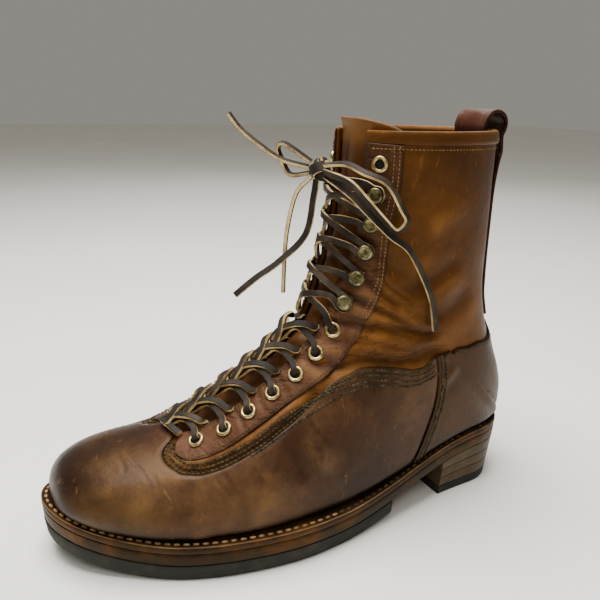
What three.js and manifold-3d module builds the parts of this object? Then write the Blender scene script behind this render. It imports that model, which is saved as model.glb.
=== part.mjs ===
// A lace-to-toe logger boot for the left foot, standing on its sole.
// Millimetres, +Z up, toe towards -Y, outer (lateral) side towards +X, floor at Z = 0.
import * as THREE from "three";
import { mergeVertices } from "three/addons/utils/BufferGeometryUtils.js";
import Module from "manifold-3d";

const wasm = await Module();
wasm.setup();

// Driving sizes of the last, the shape that the upper was pulled over
const lastLength = 300;
const ballWidth = 95;
const shaftHeight = 195;
const throatWidth = 34;
const upperWall = 2.6;
const vampThickness = 1.3;

// Driving sizes of the bottom
const outsoleThickness = 10.5;
const midsoleThickness = 8;
const weltThickness = 4.5;
const weltReach = 7;
const heelWeltReach = 3.5;
const toeSpring = 13;
const heelRise = 20;
const halfSoleEnd = 0.635;
const heelBreast = 0.79;
const heelTaper = 7;
const heelLifts = 3;
const capThickness = 6.5;

// Driving sizes of the fittings
const eyeletOuter = 9.6;
const eyeletBore = 5.2;
const fittingPitch = 16.8;
const fittingInset = 9.5;
const facingWidth = 20;
const facingThickness = 1.2;
const eyeletCount = 7;
const hookCount = 5;
const hookHeadWidth = 8.2;
const hookHeight = 6.4;
const laceWidth = 3;
const laceThickness = 1.9;
const cordWidth = 2.8;
const strapWidth = 23;
const strapThickness = 2.6;
const counterThickness = 1.5;
const counterHeight = 103;
const bindingHeight = 6;
const bindingThickness = 0.9;
const tongueThickness = 1.8;
const insoleRise = 3;
const insoleClearance = 1.9;

// Running gap between pieces that touch on the real boot
const clearance = 0.3;
const featherClearance = 0.45;

// Catmull-Rom value at a fractional row of a column of numbers.
function between(column, row) {
  const last = column.length - 1;
  const clamped = Math.min(Math.max(row, 0), last);
  const i = Math.min(Math.floor(clamped), last - 1);
  const t = clamped - i;
  const b = column[i];
  const c = column[i + 1];
  const a = i > 0 ? column[i - 1] : 2 * b - c;
  const d = i + 2 <= last ? column[i + 2] : 2 * c - b;
  const cubic = -a + 3 * b - 3 * c + d;
  return 0.5 * (2 * b + (c - a) * t + (2 * a - 5 * b + 4 * c - d) * t * t + cubic * t * t * t);
}

// Feather line, the edge where the upper meets the welt, seen from below. Columns: share of the
// last's length from the toe, half width and sideways swing as shares of the ball width.
const featherRows = [
  { along: 0.0, half: 0.45, swing: -0.205 },
  { along: 0.1, half: 0.462, swing: -0.17 },
  { along: 0.2, half: 0.487, swing: -0.1 },
  { along: 0.3, half: 0.508, swing: -0.035 },
  { along: 0.4, half: 0.497, swing: 0.018 },
  { along: 0.5, half: 0.452, swing: 0.05 },
  { along: 0.6, half: 0.4, swing: 0.058 },
  { along: 0.7, half: 0.364, swing: 0.046 },
  { along: 0.8, half: 0.345, swing: 0.026 },
  { along: 0.9, half: 0.34, swing: 0.01 },
  { along: 1.0, half: 0.335, swing: 0.0 },
];
const toeCap = { length: 0.26, power: 2.0 };
const heelCap = { length: 0.105, power: 2.05 };

function roundEnd(share, cap) {
  const t = Math.min(Math.max(share / cap.length, 0), 1);
  return Math.pow(1 - Math.pow(1 - t, cap.power), 1 / cap.power);
}

function featherHalf(along) {
  const body = between(featherRows.map((r) => r.half), along * 10) * ballWidth;
  return body * roundEnd(along, toeCap) * roundEnd(1 - along, heelCap);
}

function featherSwing(along) {
  return between(featherRows.map((r) => r.swing), along * 10) * ballWidth;
}

// Rise of the tread line above the floor: toe spring in front, the arch up to the heel behind.
const springStart = 0.2;
const archStart = 0.5;
const archEnd = 0.94;

function treadRise(along) {
  const spring = Math.max(springStart - along, 0) / springStart;
  const t = Math.min(Math.max((along - archStart) / (archEnd - archStart), 0), 1);
  return toeSpring * 0.8 * spring * spring + heelRise * t * t * (3 - 2 * t);
}

function weltTop(along) {
  return treadRise(along) + outsoleThickness + midsoleThickness + weltThickness;
}

// Sections of the last. Columns: ridge is the top or front line and keel the bottom or back
// line, each as a share of the last's length from the toe and a rise as a share of the shaft's
// height over the welt; wide is the half width as a share of the ball width; belly is how far up
// from keel to ridge the section is widest; crown and base are the roundness of its two ends.
const sections = [
  { ridge: 0.0, up: 0.0, keel: 0.0, rise: 0, wide: 0.0, belly: 0.4, crown: 2.0, base: 2 },
  { ridge: -0.002, up: 0.013, keel: 0.0022, rise: 0, wide: 0.08, belly: 0.4, crown: 2.0, base: 2 },
  { ridge: -0.002, up: 0.028, keel: 0.007, rise: 0, wide: 0.145, belly: 0.4, crown: 2.0, base: 2 },
  { ridge: 0.0, up: 0.052, keel: 0.015, rise: 0, wide: 0.2, belly: 0.4, crown: 2.0, base: 2 },
  { ridge: 0.007, up: 0.084, keel: 0.028, rise: 0, wide: 0.265, belly: 0.38, crown: 2.0, base: 2 },
  { ridge: 0.022, up: 0.117, keel: 0.047, rise: 0, wide: 0.328, belly: 0.36, crown: 2.0, base: 2 },
  { ridge: 0.048, up: 0.147, keel: 0.07, rise: 0, wide: 0.385, belly: 0.34, crown: 2.0, base: 2 },
  { ridge: 0.083, up: 0.173, keel: 0.1, rise: 0, wide: 0.437, belly: 0.32, crown: 2.0, base: 2 },
  { ridge: 0.124, up: 0.193, keel: 0.137, rise: 0, wide: 0.48, belly: 0.3, crown: 2.0, base: 2 },
  { ridge: 0.169, up: 0.208, keel: 0.177, rise: 0, wide: 0.51, belly: 0.28, crown: 2.0, base: 2 },
  { ridge: 0.212, up: 0.227, keel: 0.217, rise: 0, wide: 0.53, belly: 0.27, crown: 2.0, base: 2 },
  { ridge: 0.247, up: 0.249, keel: 0.256, rise: 0, wide: 0.543, belly: 0.26, crown: 2.05, base: 2 },
  { ridge: 0.293, up: 0.291, keel: 0.305, rise: 0, wide: 0.548, belly: 0.25, crown: 1.98, base: 2 },
  { ridge: 0.337, up: 0.339, keel: 0.358, rise: 0, wide: 0.536, belly: 0.24, crown: 1.92, base: 2 },
  { ridge: 0.379, up: 0.391, keel: 0.418, rise: 0, wide: 0.51, belly: 0.23, crown: 1.86, base: 2 },
  { ridge: 0.42, up: 0.442, keel: 0.486, rise: 0, wide: 0.475, belly: 0.23, crown: 1.82, base: 2 },
  { ridge: 0.459, up: 0.495, keel: 0.563, rise: 0, wide: 0.444, belly: 0.25, crown: 1.8, base: 2 },
  { ridge: 0.497, up: 0.538, keel: 0.648, rise: 0, wide: 0.419, belly: 0.29, crown: 1.8, base: 2 },
  { ridge: 0.5155, up: 0.572, keel: 0.743, rise: 0, wide: 0.404, belly: 0.34, crown: 1.82, base: 2.05 },
  { ridge: 0.525, up: 0.585, keel: 0.838, rise: 0, wide: 0.398, belly: 0.39, crown: 1.85, base: 1.9 },
  { ridge: 0.534, up: 0.607, keel: 0.913, rise: 0, wide: 0.395, belly: 0.43, crown: 1.88, base: 1.8 },
  { ridge: 0.542, up: 0.6436, keel: 0.965, rise: 0, wide: 0.394, belly: 0.46, crown: 1.9, base: 1.8 },
  { ridge: 0.549, up: 0.674, keel: 1.0, rise: 0, wide: 0.394, belly: 0.48, crown: 1.92, base: 2.6 },
  { ridge: 0.5535, up: 0.695, keel: 1.006, rise: 0.045, wide: 0.394, belly: 0.49, crown: 1.94, base: 2.65 },
  { ridge: 0.5578, up: 0.7154, keel: 1.004, rise: 0.095, wide: 0.395, belly: 0.5, crown: 1.96, base: 2.65 },
  { ridge: 0.5618, up: 0.7359, keel: 0.992, rise: 0.155, wide: 0.398, belly: 0.5, crown: 1.98, base: 2.6 },
  { ridge: 0.5658, up: 0.759, keel: 0.974, rise: 0.225, wide: 0.4, belly: 0.5, crown: 2.0, base: 2.45 },
  { ridge: 0.5692, up: 0.782, keel: 0.956, rise: 0.305, wide: 0.405, belly: 0.5, crown: 2.02, base: 2.3 },
  { ridge: 0.5725, up: 0.8077, keel: 0.942, rise: 0.395, wide: 0.41, belly: 0.5, crown: 2.04, base: 2.2 },
  { ridge: 0.5755, up: 0.8359, keel: 0.934, rise: 0.495, wide: 0.419, belly: 0.5, crown: 2.06, base: 2.1 },
  { ridge: 0.5778, up: 0.869, keel: 0.931, rise: 0.615, wide: 0.427, belly: 0.5, crown: 2.08, base: 2.1 },
  { ridge: 0.5795, up: 0.91, keel: 0.928, rise: 0.75, wide: 0.435, belly: 0.5, crown: 2.1, base: 2.1 },
  { ridge: 0.5805, up: 0.959, keel: 0.924, rise: 0.885, wide: 0.442, belly: 0.5, crown: 2.1, base: 2.1 },
  { ridge: 0.581, up: 1.01, keel: 0.918, rise: 1.01, wide: 0.447, belly: 0.5, crown: 2.1, base: 2.1 },
  { ridge: 0.5805, up: 1.045, keel: 0.913, rise: 1.07, wide: 0.45, belly: 0.5, crown: 2.1, base: 2.1 },
];
const columns = Object.fromEntries(
  Object.keys(sections[0]).map((key) => [key, sections.map((row) => row[key])]),
);
const heelRow = 22;
const collarRow = 33;

// Throat: half width of the slit, by row, as a share of its width at the collar.
const throatRows = [
  { row: 10.4, half: 0 },
  { row: 10.7, half: 0.5 },
  { row: 11.3, half: 0.75 },
  { row: 12.2, half: 0.84 },
  { row: 14, half: 0.74 },
  { row: 16, half: 0.66 },
  { row: 18, half: 0.69 },
  { row: 21, half: 0.83 },
  { row: 26, half: 0.9 },
  { row: 35, half: 1 },
];
const slitRow = throatRows[0].row;

function stepThrough(table, row, key) {
  let i = 0;
  while (i < table.length - 2 && table[i + 1].row < row) i++;
  const [a, b] = [table[i], table[i + 1]];
  const t = Math.min(Math.max((row - a.row) / (b.row - a.row), 0), 1);
  return a[key] + (b[key] - a[key]) * t;
}

function throatHalf(row) {
  return (throatWidth / 2) * stepThrough(throatRows, row, "half");
}

// The sole's ends in the part's frame: it is centred on the origin.
const toeY = -(lastLength + weltReach + heelWeltReach) / 2 + weltReach;
const atY = (along) => toeY + along * lastLength;

// A section of the last as a fine line from the throat's edge to the feather line or the back
// seam, on the side given as 1 for lateral or -1 for medial, with even steps of length.
const fineSteps = 40;

function sectionLine(row, side, gap = throatHalf(row)) {
  const c = Object.fromEntries(Object.keys(columns).map((k) => [k, between(columns[k], row)]));
  const base = weltTop(Math.min(c.keel, 1));
  const ridge = new THREE.Vector2(atY(c.ridge), base + c.up * shaftHeight);
  const keel = new THREE.Vector2(atY(c.keel), base + c.rise * shaftHeight);
  const chord = row < heelRow ? featherHalf(Math.min(c.keel, 1)) : 0;
  const wide = Math.max(c.wide * ballWidth, chord * 1.01);
  const swing = featherSwing(Math.min(Math.max(c.keel, 0), 1));
  const edge = gap > 0 ? Math.pow(1 - Math.pow(gap / wide, c.crown), 1 / c.crown) : 1;
  const points = [];
  for (let i = 0; i <= fineSteps; i++) {
    const up = edge * Math.cos((Math.PI / 2) * (i / fineSteps));
    const x = wide * Math.pow(Math.max(1 - Math.pow(up, c.crown), 0), 1 / c.crown);
    const share = c.belly + (1 - c.belly) * up;
    points.push([i === 0 ? gap : x, share]);
  }
  for (let i = 1; i <= fineSteps; i++) {
    const down = Math.sin((Math.PI / 2) * (i / fineSteps));
    const x = chord + (wide - chord) * Math.pow(Math.max(1 - Math.pow(down, c.base), 0), 1 / c.base);
    points.push([x, c.belly * (1 - down)]);
  }
  return points.map(([x, share]) => {
    const p = keel.clone().lerp(ridge, share);
    return new THREE.Vector3(swing + side * x, p.x, p.y);
  });
}

function lengths(points) {
  const sums = [0];
  for (let i = 1; i < points.length; i++) sums.push(sums[i - 1] + points[i].distanceTo(points[i - 1]));
  return sums;
}

function alongLine(points, distance) {
  const sums = lengths(points);
  const target = Math.min(Math.max(distance, 0), sums[sums.length - 1]);
  let i = 1;
  while (i < sums.length - 1 && sums[i] < target) i++;
  const span = sums[i] - sums[i - 1];
  return points[i - 1].clone().lerp(points[i], span > 0 ? (target - sums[i - 1]) / span : 0);
}

function lineLength(points) {
  return lengths(points).at(-1);
}

// A point of the last's surface: the row, the side, and the distance from the throat's edge.
function surfacePoint(row, side, distance) {
  return alongLine(sectionLine(row, side), distance);
}

function surfaceNormal(row, side, distance) {
  const step = 0.05;
  const reach = 0.6;
  const across = surfacePoint(row, side, distance + reach).sub(surfacePoint(row, side, distance - reach));
  const ahead = surfacePoint(row + step, side, distance).sub(surfacePoint(row - step, side, distance));
  return ahead.cross(across).multiplyScalar(-side).normalize();
}

// Grid of the upper. Across each section run a facing band, a quarter band and a lower band. The
// line between the last two is the top edge of vamp and counter: its height over the keel, by row,
// as a share of the counter's height at the back.
const seamLine = [
  { row: 8, high: 0.583 },
  { row: 9.3, high: 0.544 },
  { row: 9.8, high: 0.417 },
  { row: 10.4, high: 0.393 },
  { row: 11.25, high: 0.408 },
  { row: 12.25, high: 0.456 },
  { row: 13.25, high: 0.51 },
  { row: 14.75, high: 0.621 },
  { row: 16.25, high: 0.796 },
  { row: 17.5, high: 0.835 },
  { row: 18.25, high: 0.806 },
  { row: 19.4, high: 0.738 },
  { row: 20.75, high: 0.874 },
  { row: 22.75, high: 1 },
  { row: 25, high: 0.709 },
  { row: 27, high: 0.262 },
  { row: 27.6, high: 0.136 },
  { row: 34, high: 0.136 },
];
const facingColumns = 2;
const quarterColumns = 4;
const lowerColumns = 3;
const seamColumn = facingColumns + quarterColumns;
const edgeColumn = seamColumn + lowerColumns;
const vampFront = 9.3;
const counterFront = 17.3;
const counterBack = 27.6;
const counterLean = 3.3;

const seamHeight = (row) => counterHeight * stepThrough(seamLine, row, "high");

// How far a row leans back at the seam line, so that one of them is the front of the counter.
function lean(row) {
  const rising = (row - 13) / (counterFront - 13);
  const falling = (23 - row) / (23 - counterFront);
  return counterLean * Math.max(Math.min(rising, falling, 1), 0);
}

function gridPlace(row, side, column) {
  if (row < vampFront) {
    const first = gridPlace(vampFront, side, column);
    const share = first.distance / lineLength(sectionLine(first.row, side));
    const t = Math.min(Math.max((row - 3) / (vampFront - 3), 0), 1);
    const even = column / edgeColumn;
    return { row, distance: (even + (share - even) * t * t) * lineLength(sectionLine(row, side)) };
  }
  const shift = lean(row);
  const high = seamHeight(row + shift);
  if (column >= seamColumn) {
    const up = (edgeColumn - column) / lowerColumns;
    const place = row + shift * up;
    return { row: place, distance: lineLength(sectionLine(place, side)) - high * up };
  }
  const room = lineLength(sectionLine(row, side)) - seamHeight(row);
  const facing = Math.min(facingWidth, room * 0.6);
  if (column <= facingColumns) return { row, distance: (facing * column) / facingColumns };
  const across = (column - facingColumns) / quarterColumns;
  const place = row + shift * across;
  const low = lineLength(sectionLine(place, side)) - high;
  return { row: place, distance: facing + (low - facing) * across };
}

// A thin line of the collar's binding runs level under the top edge.
const gridRows = [];
for (let row = 0; row <= 9; row++) gridRows.push(row);
gridRows.push(vampFront, 9.8, slitRow, 10.7, 11.3);
gridRows.push(12, 13, 14, 15, 15.9, 16.6, counterFront, 18, 19, 20, 20.9, 21.35, 21.65, 21.87);
gridRows.push(22, 23, 24, 25, 26, 26.9, counterBack, 28.6, 29.8, 31.1, 32.4, collarRow);
const bindingRow = 32.4;

const pointKey = (point) => point.toArray().map((v) => Math.round(v * 1000)).join();

// A surface as merged points with outward normals and faces of point numbers.
class Surface {
  constructor() {
    this.points = [];
    this.faces = [];
    this.keys = new Map();
    this.feather = new Set();
  }
  add(point, onFeather = false) {
    const key = pointKey(point);
    if (!this.keys.has(key)) {
      this.keys.set(key, this.points.length);
      this.points.push(point.clone());
    }
    const index = this.keys.get(key);
    if (onFeather) this.feather.add(index);
    return index;
  }
  quad(a, b, c, d) {
    for (const face of [[a, b, c], [a, c, d]]) {
      if (new Set(face).size === 3) this.faces.push(face);
    }
  }
  normals() {
    const sums = this.points.map(() => new THREE.Vector3());
    for (const [a, b, c] of this.faces) {
      const ab = this.points[b].clone().sub(this.points[a]);
      const ac = this.points[c].clone().sub(this.points[a]);
      const face = ab.cross(ac);
      for (const i of [a, b, c]) sums[i].add(face);
    }
    return sums.map((n) => n.normalize());
  }
}

// Points of the upper's surface on its grid, for both sides, between two rows and two columns.
function gridSurface(rows, firstColumn, lastColumn, sides = [1, -1]) {
  const surface = new Surface();
  for (const side of sides) {
    let previous = null;
    for (const row of rows) {
      const line = [];
      for (let column = firstColumn(row); column <= lastColumn(row); column++) {
        const place = gridPlace(row, side, column);
        const bottom = column === edgeColumn && place.row < heelRow + 0.01;
        line.push(surface.add(surfacePoint(place.row, side, place.distance), bottom));
      }
      if (previous) {
        const skip = previous.length - line.length;
        const from = Math.max(skip, 0);
        for (let i = 0; i < line.length - 1; i++) {
          const [a, b] = [previous[i + from], previous[i + from + 1]];
          if (side > 0) surface.quad(a, b, line[i + 1], line[i]);
          else surface.quad(a, line[i], line[i + 1], b);
        }
      }
      previous = line;
    }
  }
  return surface;
}

// A closed solid between two offsets of a surface along its normals. Points on the feather line
// move level, so that the bottom edge stays flat on the welt.
function thicken(surface, low, high, guide = surface) {
  const own = surface.normals();
  const keyed = new Map(guide.points.map((point, i) => [pointKey(point), i]));
  const guiding = guide === surface ? own : guide.normals();
  const normals = surface.points.map((point, i) => {
    const match = keyed.get(pointKey(point));
    return match === undefined ? own[i] : guiding[match];
  });
  const count = surface.points.length;
  const place = (offset) => surface.points.map((point, i) => {
    const normal = normals[i].clone();
    const onFeather = surface.feather.has(i);
    if (onFeather) normal.setZ(0).normalize();
    const reach = onFeather && offset > 0 ? offset + featherClearance : offset;
    const moved = point.clone().addScaledVector(normal, reach);
    const floor = weltTop((moved.y - toeY) / lastLength) + clearance + (offset > 0 ? 0.1 : 0);
    if (onFeather || moved.z < floor) moved.z = floor;
    return moved;
  });
  const points = [...place(high), ...place(low)];
  const faces = [];
  const edges = new Map();
  for (const [a, b, c] of surface.faces) {
    faces.push([a, b, c], [a + count, c + count, b + count]);
    for (const [from, to] of [[a, b], [b, c], [c, a]]) {
      if (edges.has(`${to},${from}`)) edges.delete(`${to},${from}`);
      else edges.set(`${from},${to}`, [from, to]);
    }
  }
  for (const [from, to] of edges.values()) {
    faces.push([from, from + count, to + count], [from, to + count, to]);
  }
  return { points, faces };
}

const group = new THREE.Group();

// Finishes. A piece takes the first row that its name begins with.
const finishes = [
  { piece: "upper", color: 0x7a4b28, roughness: 0.5, metalness: 0 },
  { piece: "vamp", color: 0x5c3f2a, roughness: 0.42, metalness: 0 },
  { piece: "counter", color: 0x5c3f33, roughness: 0.42, metalness: 0 },
  { piece: "facing", color: 0x6e4529, roughness: 0.5, metalness: 0 },
  { piece: "collar_binding", color: 0x6b4427, roughness: 0.5, metalness: 0 },
  { piece: "tongue", color: 0x8a5a34, roughness: 0.45, metalness: 0 },
  { piece: "insole", color: 0xa98a63, roughness: 0.8, metalness: 0 },
  { piece: "outsole", color: 0x35312c, roughness: 0.7, metalness: 0 },
  { piece: "midsole", color: 0x4c3a2b, roughness: 0.6, metalness: 0 },
  { piece: "welt", color: 0x5b4330, roughness: 0.6, metalness: 0 },
  { piece: "heel_top_lift", color: 0x35312c, roughness: 0.7, metalness: 0 },
  { piece: "heel_lift", color: 0x4c4036, roughness: 0.6, metalness: 0 },
  { piece: "pull_loop", color: 0x6f4c3f, roughness: 0.5, metalness: 0 },
  { piece: "eyelet", color: 0xc9b06a, roughness: 0.35, metalness: 1 },
  { piece: "hook", color: 0x7d7540, roughness: 0.4, metalness: 1 },
  { piece: "", color: 0x3a2f28, roughness: 0.65, metalness: 0 },
];

function finish(name) {
  const { color, roughness, metalness } = finishes.find(({ piece }) => name.startsWith(piece));
  return new THREE.MeshStandardMaterial({ color, roughness, metalness });
}

function addPiece(name, { points, faces }) {
  let volume = 0;
  for (const [a, b, c] of faces) {
    volume += points[a].dot(points[b].clone().cross(points[c]));
  }
  const order = volume < 0 ? ([a, b, c]) => [a, c, b] : (face) => face;
  const geometry = new THREE.BufferGeometry();
  const flat = points.flatMap((p) => p.toArray());
  geometry.setAttribute("position", new THREE.Float32BufferAttribute(flat, 3));
  geometry.setIndex(faces.flatMap(order));
  const mesh = new THREE.Mesh(geometry, finish(name));
  mesh.name = name;
  group.add(mesh);
  return mesh;
}

// Upper, then the pieces laid over it, each cut from the same grid
const allColumns = () => 0;
const toEdge = () => edgeColumn;
const rowsFrom = (first, last) => gridRows.filter((row) => row >= first && row <= last);

const upper = gridSurface(gridRows, allColumns, toEdge);
addPiece("upper", thicken(upper, -upperWall, 0));

const vampColumns = (row) => (row <= vampFront ? 0 : seamColumn);
const vamp = gridSurface(rowsFrom(0, counterFront), vampColumns, toEdge);
addPiece("vamp", thicken(vamp, clearance, clearance + vampThickness, upper));

// The counter starts a running gap behind the vamp.
const counterRows = [counterFront + 0.1, ...rowsFrom(counterFront + 0.2, counterBack)];
const counter = gridSurface(counterRows, () => seamColumn, toEdge);
addPiece("counter", thicken(counter, clearance, clearance + counterThickness, upper));

const facingRows = rowsFrom(slitRow + 0.1, bindingRow);
for (const [name, side] of [["facing_lateral", 1], ["facing_medial", -1]]) {
  const facing = gridSurface(facingRows, allColumns, () => facingColumns, [side]);
  addPiece(name, thicken(facing, clearance, clearance + facingThickness, upper));
}

// Rolled binding round the collar, level under the top edge, over leather and facings
const bindingRows = [bindingRow + 0.12, collarRow];
const binding = gridSurface(bindingRows, allColumns, toEdge);
addPiece("collar_binding", thicken(binding, clearance, clearance + bindingThickness, upper));

// Tongue: it follows the inside of the throat and stands up past the collar.
const tongueRows = [9.4, 10.4, 11, 12, 13, 14, 15, 16, 16.7, 17.3, 18, 19, 20, 22, 24, 26, 28, 29.5, 31, 32.4, 33, 33.9];
const tongueSteps = 2;
const tongueGap = 1.2;
const tongue = new Surface();
for (const side of [1, -1]) {
  let previous = null;
  for (const row of tongueRows) {
    const wide = 10 + throatHalf(row) * 1.25 + Math.min(Math.max(row - 10, 0), 6) * 1.2;
    const section = sectionLine(row, side, 0);
    const line = [];
    for (let i = 0; i <= tongueSteps; i++) {
      line.push(tongue.add(alongLine(section, (wide * i) / tongueSteps)));
    }
    for (let i = 0; previous && i < tongueSteps; i++) {
      if (side > 0) tongue.quad(previous[i], previous[i + 1], line[i + 1], line[i]);
      else tongue.quad(previous[i], line[i], line[i + 1], previous[i + 1]);
    }
    previous = line;
  }
}
const tongueTop = -(upperWall + tongueGap);
addPiece("tongue", thicken(tongue, tongueTop - tongueThickness, tongueTop));

// Edge of the sole: the feather line set out by a reach that narrows towards the heel.
const ringSteps = 240;

function soleEdge(change) {
  const ring = [];
  for (let i = 0; i < ringSteps * 2; i++) {
    const side = i < ringSteps ? 1 : -1;
    const t = i < ringSteps ? i / ringSteps : 2 - i / ringSteps;
    const along = (1 - Math.cos(Math.PI * t)) / 2;
    ring.push([featherSwing(along) + side * featherHalf(along), atY(along), along]);
  }
  const moved = ring.map(([x, y, along], i) => {
    const a = ring[(i + 1) % ring.length];
    const b = ring[(i + ring.length - 1) % ring.length];
    const [dx, dy] = [a[0] - b[0], a[1] - b[1]];
    const size = Math.hypot(dx, dy);
    const blend = Math.min(Math.max((along - 0.45) / 0.35, 0), 1);
    const reach = (change.plain ? 0 : weltReach + (heelWeltReach - weltReach) * blend) + change.by;
    return [x + (dy / size) * reach, y - (dx / size) * reach];
  });
  const lateral = moved.slice(0, ringSteps + 1);
  const medial = [moved[0], ...moved.slice(ringSteps).reverse()];
  const at = (half, y) => {
    let i = 1;
    while (i < half.length - 1 && half[i][1] < y) i++;
    const span = half[i][1] - half[i - 1][1];
    const t = span === 0 ? 0 : Math.min(Math.max((y - half[i - 1][1]) / span, 0), 1);
    return half[i - 1][0] + (half[i][0] - half[i - 1][0]) * t;
  };
  return { front: moved[0][1], back: moved[ringSteps][1], x: (y, side) => at(side > 0 ? lateral : medial, y) };
}

const alongAt = (y) => (y - toeY) / lastLength;

// A layer of the bottom from levels that list reach and height, between two shares of the last
// or out to the tips. A hollow layer is a ring: its last level joins its first.
function bottomLayer(name, levels, { from = null, to = null, steps = 22, hollow = false }) {
  const points = [];
  const rings = levels.map((level) => {
    const edge = soleEdge(level);
    const front = from === null ? edge.front : atY(from);
    const back = to === null ? edge.back : atY(to);
    const ring = [];
    for (let j = 0; j <= steps; j++) {
      let t = j / steps;
      if (from === null && to === null) t = (1 - Math.cos(Math.PI * t)) / 2;
      else if (from === null) t = 1 - Math.cos((Math.PI / 2) * t);
      else if (to === null) t = Math.sin((Math.PI / 2) * t);
      const y = front + (back - front) * t;
      const shift = level.pull ? level.pull * t * t : 0;
      const pair = [1, -1].map((side) => {
        points.push(new THREE.Vector3(edge.x(y, side), y - shift, level.z(alongAt(y))));
        return points.length - 1;
      });
      if (Math.abs(points[pair[0]].x - points[pair[1]].x) < 0.01) {
        points[pair[1]].copy(points[pair[0]]);
        pair[1] = pair[0];
      }
      ring.push(pair);
    }
    return ring;
  });
  const faces = [];
  const quad = (a, b, c, d) => {
    for (const face of [[a, b, c], [a, c, d]]) {
      if (new Set(face).size === 3) faces.push(face);
    }
  };
  const last = rings.length - 1;
  for (let k = 0; k < (hollow ? rings.length : last); k++) {
    const [low, high] = [rings[k], rings[(k + 1) % rings.length]];
    for (let j = 0; j < steps; j++) {
      quad(low[j][0], low[j + 1][0], high[j + 1][0], high[j][0]);
      quad(low[j][1], high[j][1], high[j + 1][1], low[j + 1][1]);
    }
    if (from !== null) quad(low[0][1], low[0][0], high[0][0], high[0][1]);
    if (to !== null) quad(low[steps][0], low[steps][1], high[steps][1], high[steps][0]);
  }
  for (let j = 0; !hollow && j < steps; j++) {
    quad(rings[0][j][0], rings[0][j][1], rings[0][j + 1][1], rings[0][j + 1][0]);
    quad(rings[last][j][0], rings[last][j + 1][0], rings[last][j + 1][1], rings[last][j][1]);
  }
  addPiece(name, { points, faces });
}

const outsoleTop = (along) => treadRise(along) + outsoleThickness;
const midsoleTop = (along) => outsoleTop(along) + midsoleThickness;

bottomLayer("outsole", [
  { by: -2.2, z: treadRise },
  { by: -0.9, z: (along) => treadRise(along) + 2.4 },
  { by: 0, z: (along) => outsoleTop(along) - clearance },
], { to: halfSoleEnd, steps: 18 });

bottomLayer("midsole", [
  { by: -0.3, z: outsoleTop },
  { by: 0.4, z: (along) => midsoleTop(along) - clearance },
], { steps: 26 });

bottomLayer("welt", [
  { by: 0.3, z: midsoleTop },
  { by: 0.2, z: (along) => weltTop(along) - 0.8 },
  { by: -0.8, z: weltTop },
  { by: -upperWall, plain: true, z: weltTop },
  { by: -upperWall, plain: true, z: midsoleTop },
], { steps: 26, hollow: true });

bottomLayer("insole", [
  { by: -(upperWall + insoleClearance), plain: true, z: midsoleTop },
  { by: -(upperWall + insoleClearance), plain: true, z: (along) => weltTop(along) + insoleRise },
], { steps: 20 });

// Stacked heel: a top lift on the floor and leather lifts up to the midsole, each a little wider.
for (let lift = 0; lift <= heelLifts; lift++) {
  const place = (share) => (along) => capThickness + (outsoleTop(along) - capThickness) * share;
  const [low, high] = [(lift - 1) / heelLifts, lift / heelLifts];
  const bottom = lift === 0 ? () => 0 : place(low);
  const top = lift === 0 ? () => capThickness : place(high);
  const sink = (z) => 1 - z / outsoleTop(1);
  const pull = (z) => heelTaper * sink(z) * 0.8;
  const reach = (z) => -0.3 - 2 * sink(z);
  bottomLayer(lift === 0 ? "heel_top_lift" : `heel_lift_${lift}`, [
    { by: reach(bottom(1)), pull: pull(bottom(1)), z: bottom },
    { by: reach(top(1)), pull: pull(top(1)), z: (along) => top(along) - clearance },
  ], { from: heelBreast, steps: 12 });
}

// Backstay and pull loop: one strap up the back seam, over the collar and down inside.
const strapAcross = [-0.5, -0.25, 0, 0.25, 0.5];
const backRadius = 37;

function strapLine(row, offset) {
  return strapAcross.map((share) => {
    const side = share < 0 ? -1 : 1;
    const distance = lineLength(sectionLine(row, side)) - Math.max(Math.abs(share) * strapWidth, 0.05);
    const point = surfacePoint(row, side, distance);
    return point.addScaledVector(surfaceNormal(row, side, distance), offset);
  });
}

// The loop over the collar. Columns: how far behind the back seam and over the collar's edge, as
// shares of the strap's width.
const strapLoop = [
  { behind: 0.16, over: -0.2 },
  { behind: 0.3, over: 0.02 },
  { behind: 0.38, over: 0.2 },
  { behind: 0.3, over: 0.36 },
  { behind: 0.08, over: 0.44 },
  { behind: -0.2, over: 0.4 },
  { behind: -0.34, over: 0.22 },
  { behind: -0.28, over: 0.0 },
];
const strap = new Surface();
const collarBack = sectionLine(collarRow, 1).at(-1);
const strapLines = [27.95, 28.8, 29.7, 30.6, 31.5, 32.1].map((row) => strapLine(row, clearance + 0.35));
strapLines.push(strapLine(32.42, clearance * 3 + bindingThickness));
for (const { behind, over } of strapLoop) {
  strapLines.push(strapAcross.map((share) => {
    const x = share * strapWidth;
    const y = collarBack.y + behind * strapWidth - (x * x) / (2 * backRadius);
    return new THREE.Vector3(x, y, collarBack.z + over * strapWidth);
  }));
}
for (const row of [32.6, 32.1, 31.6]) strapLines.push(strapLine(row, -(upperWall + clearance * 3)));
let previousLine = null;
for (const points of strapLines) {
  const line = points.map((point) => strap.add(point));
  for (let i = 0; previousLine && i < line.length - 1; i++) {
    strap.quad(previousLine[i], previousLine[i + 1], line[i + 1], line[i]);
  }
  previousLine = line;
}
addPiece("pull_loop", thicken(strap, 0, -strapThickness));

// Places of the fittings along the middle of each facing, at one even pitch
const firstFittingRow = 11.05;
const fittingTotal = eyeletCount + hookCount + 1;

function fittingRows(side) {
  const rows = [firstFittingRow];
  let row = firstFittingRow;
  let point = surfacePoint(row, side, fittingInset);
  while (rows.length < fittingTotal) {
    const next = surfacePoint(row + 0.02, side, fittingInset);
    if (next.distanceTo(point) >= fittingPitch) {
      rows.push(row + 0.02);
      point = next;
    }
    row += 0.02;
  }
  return rows;
}

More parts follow.
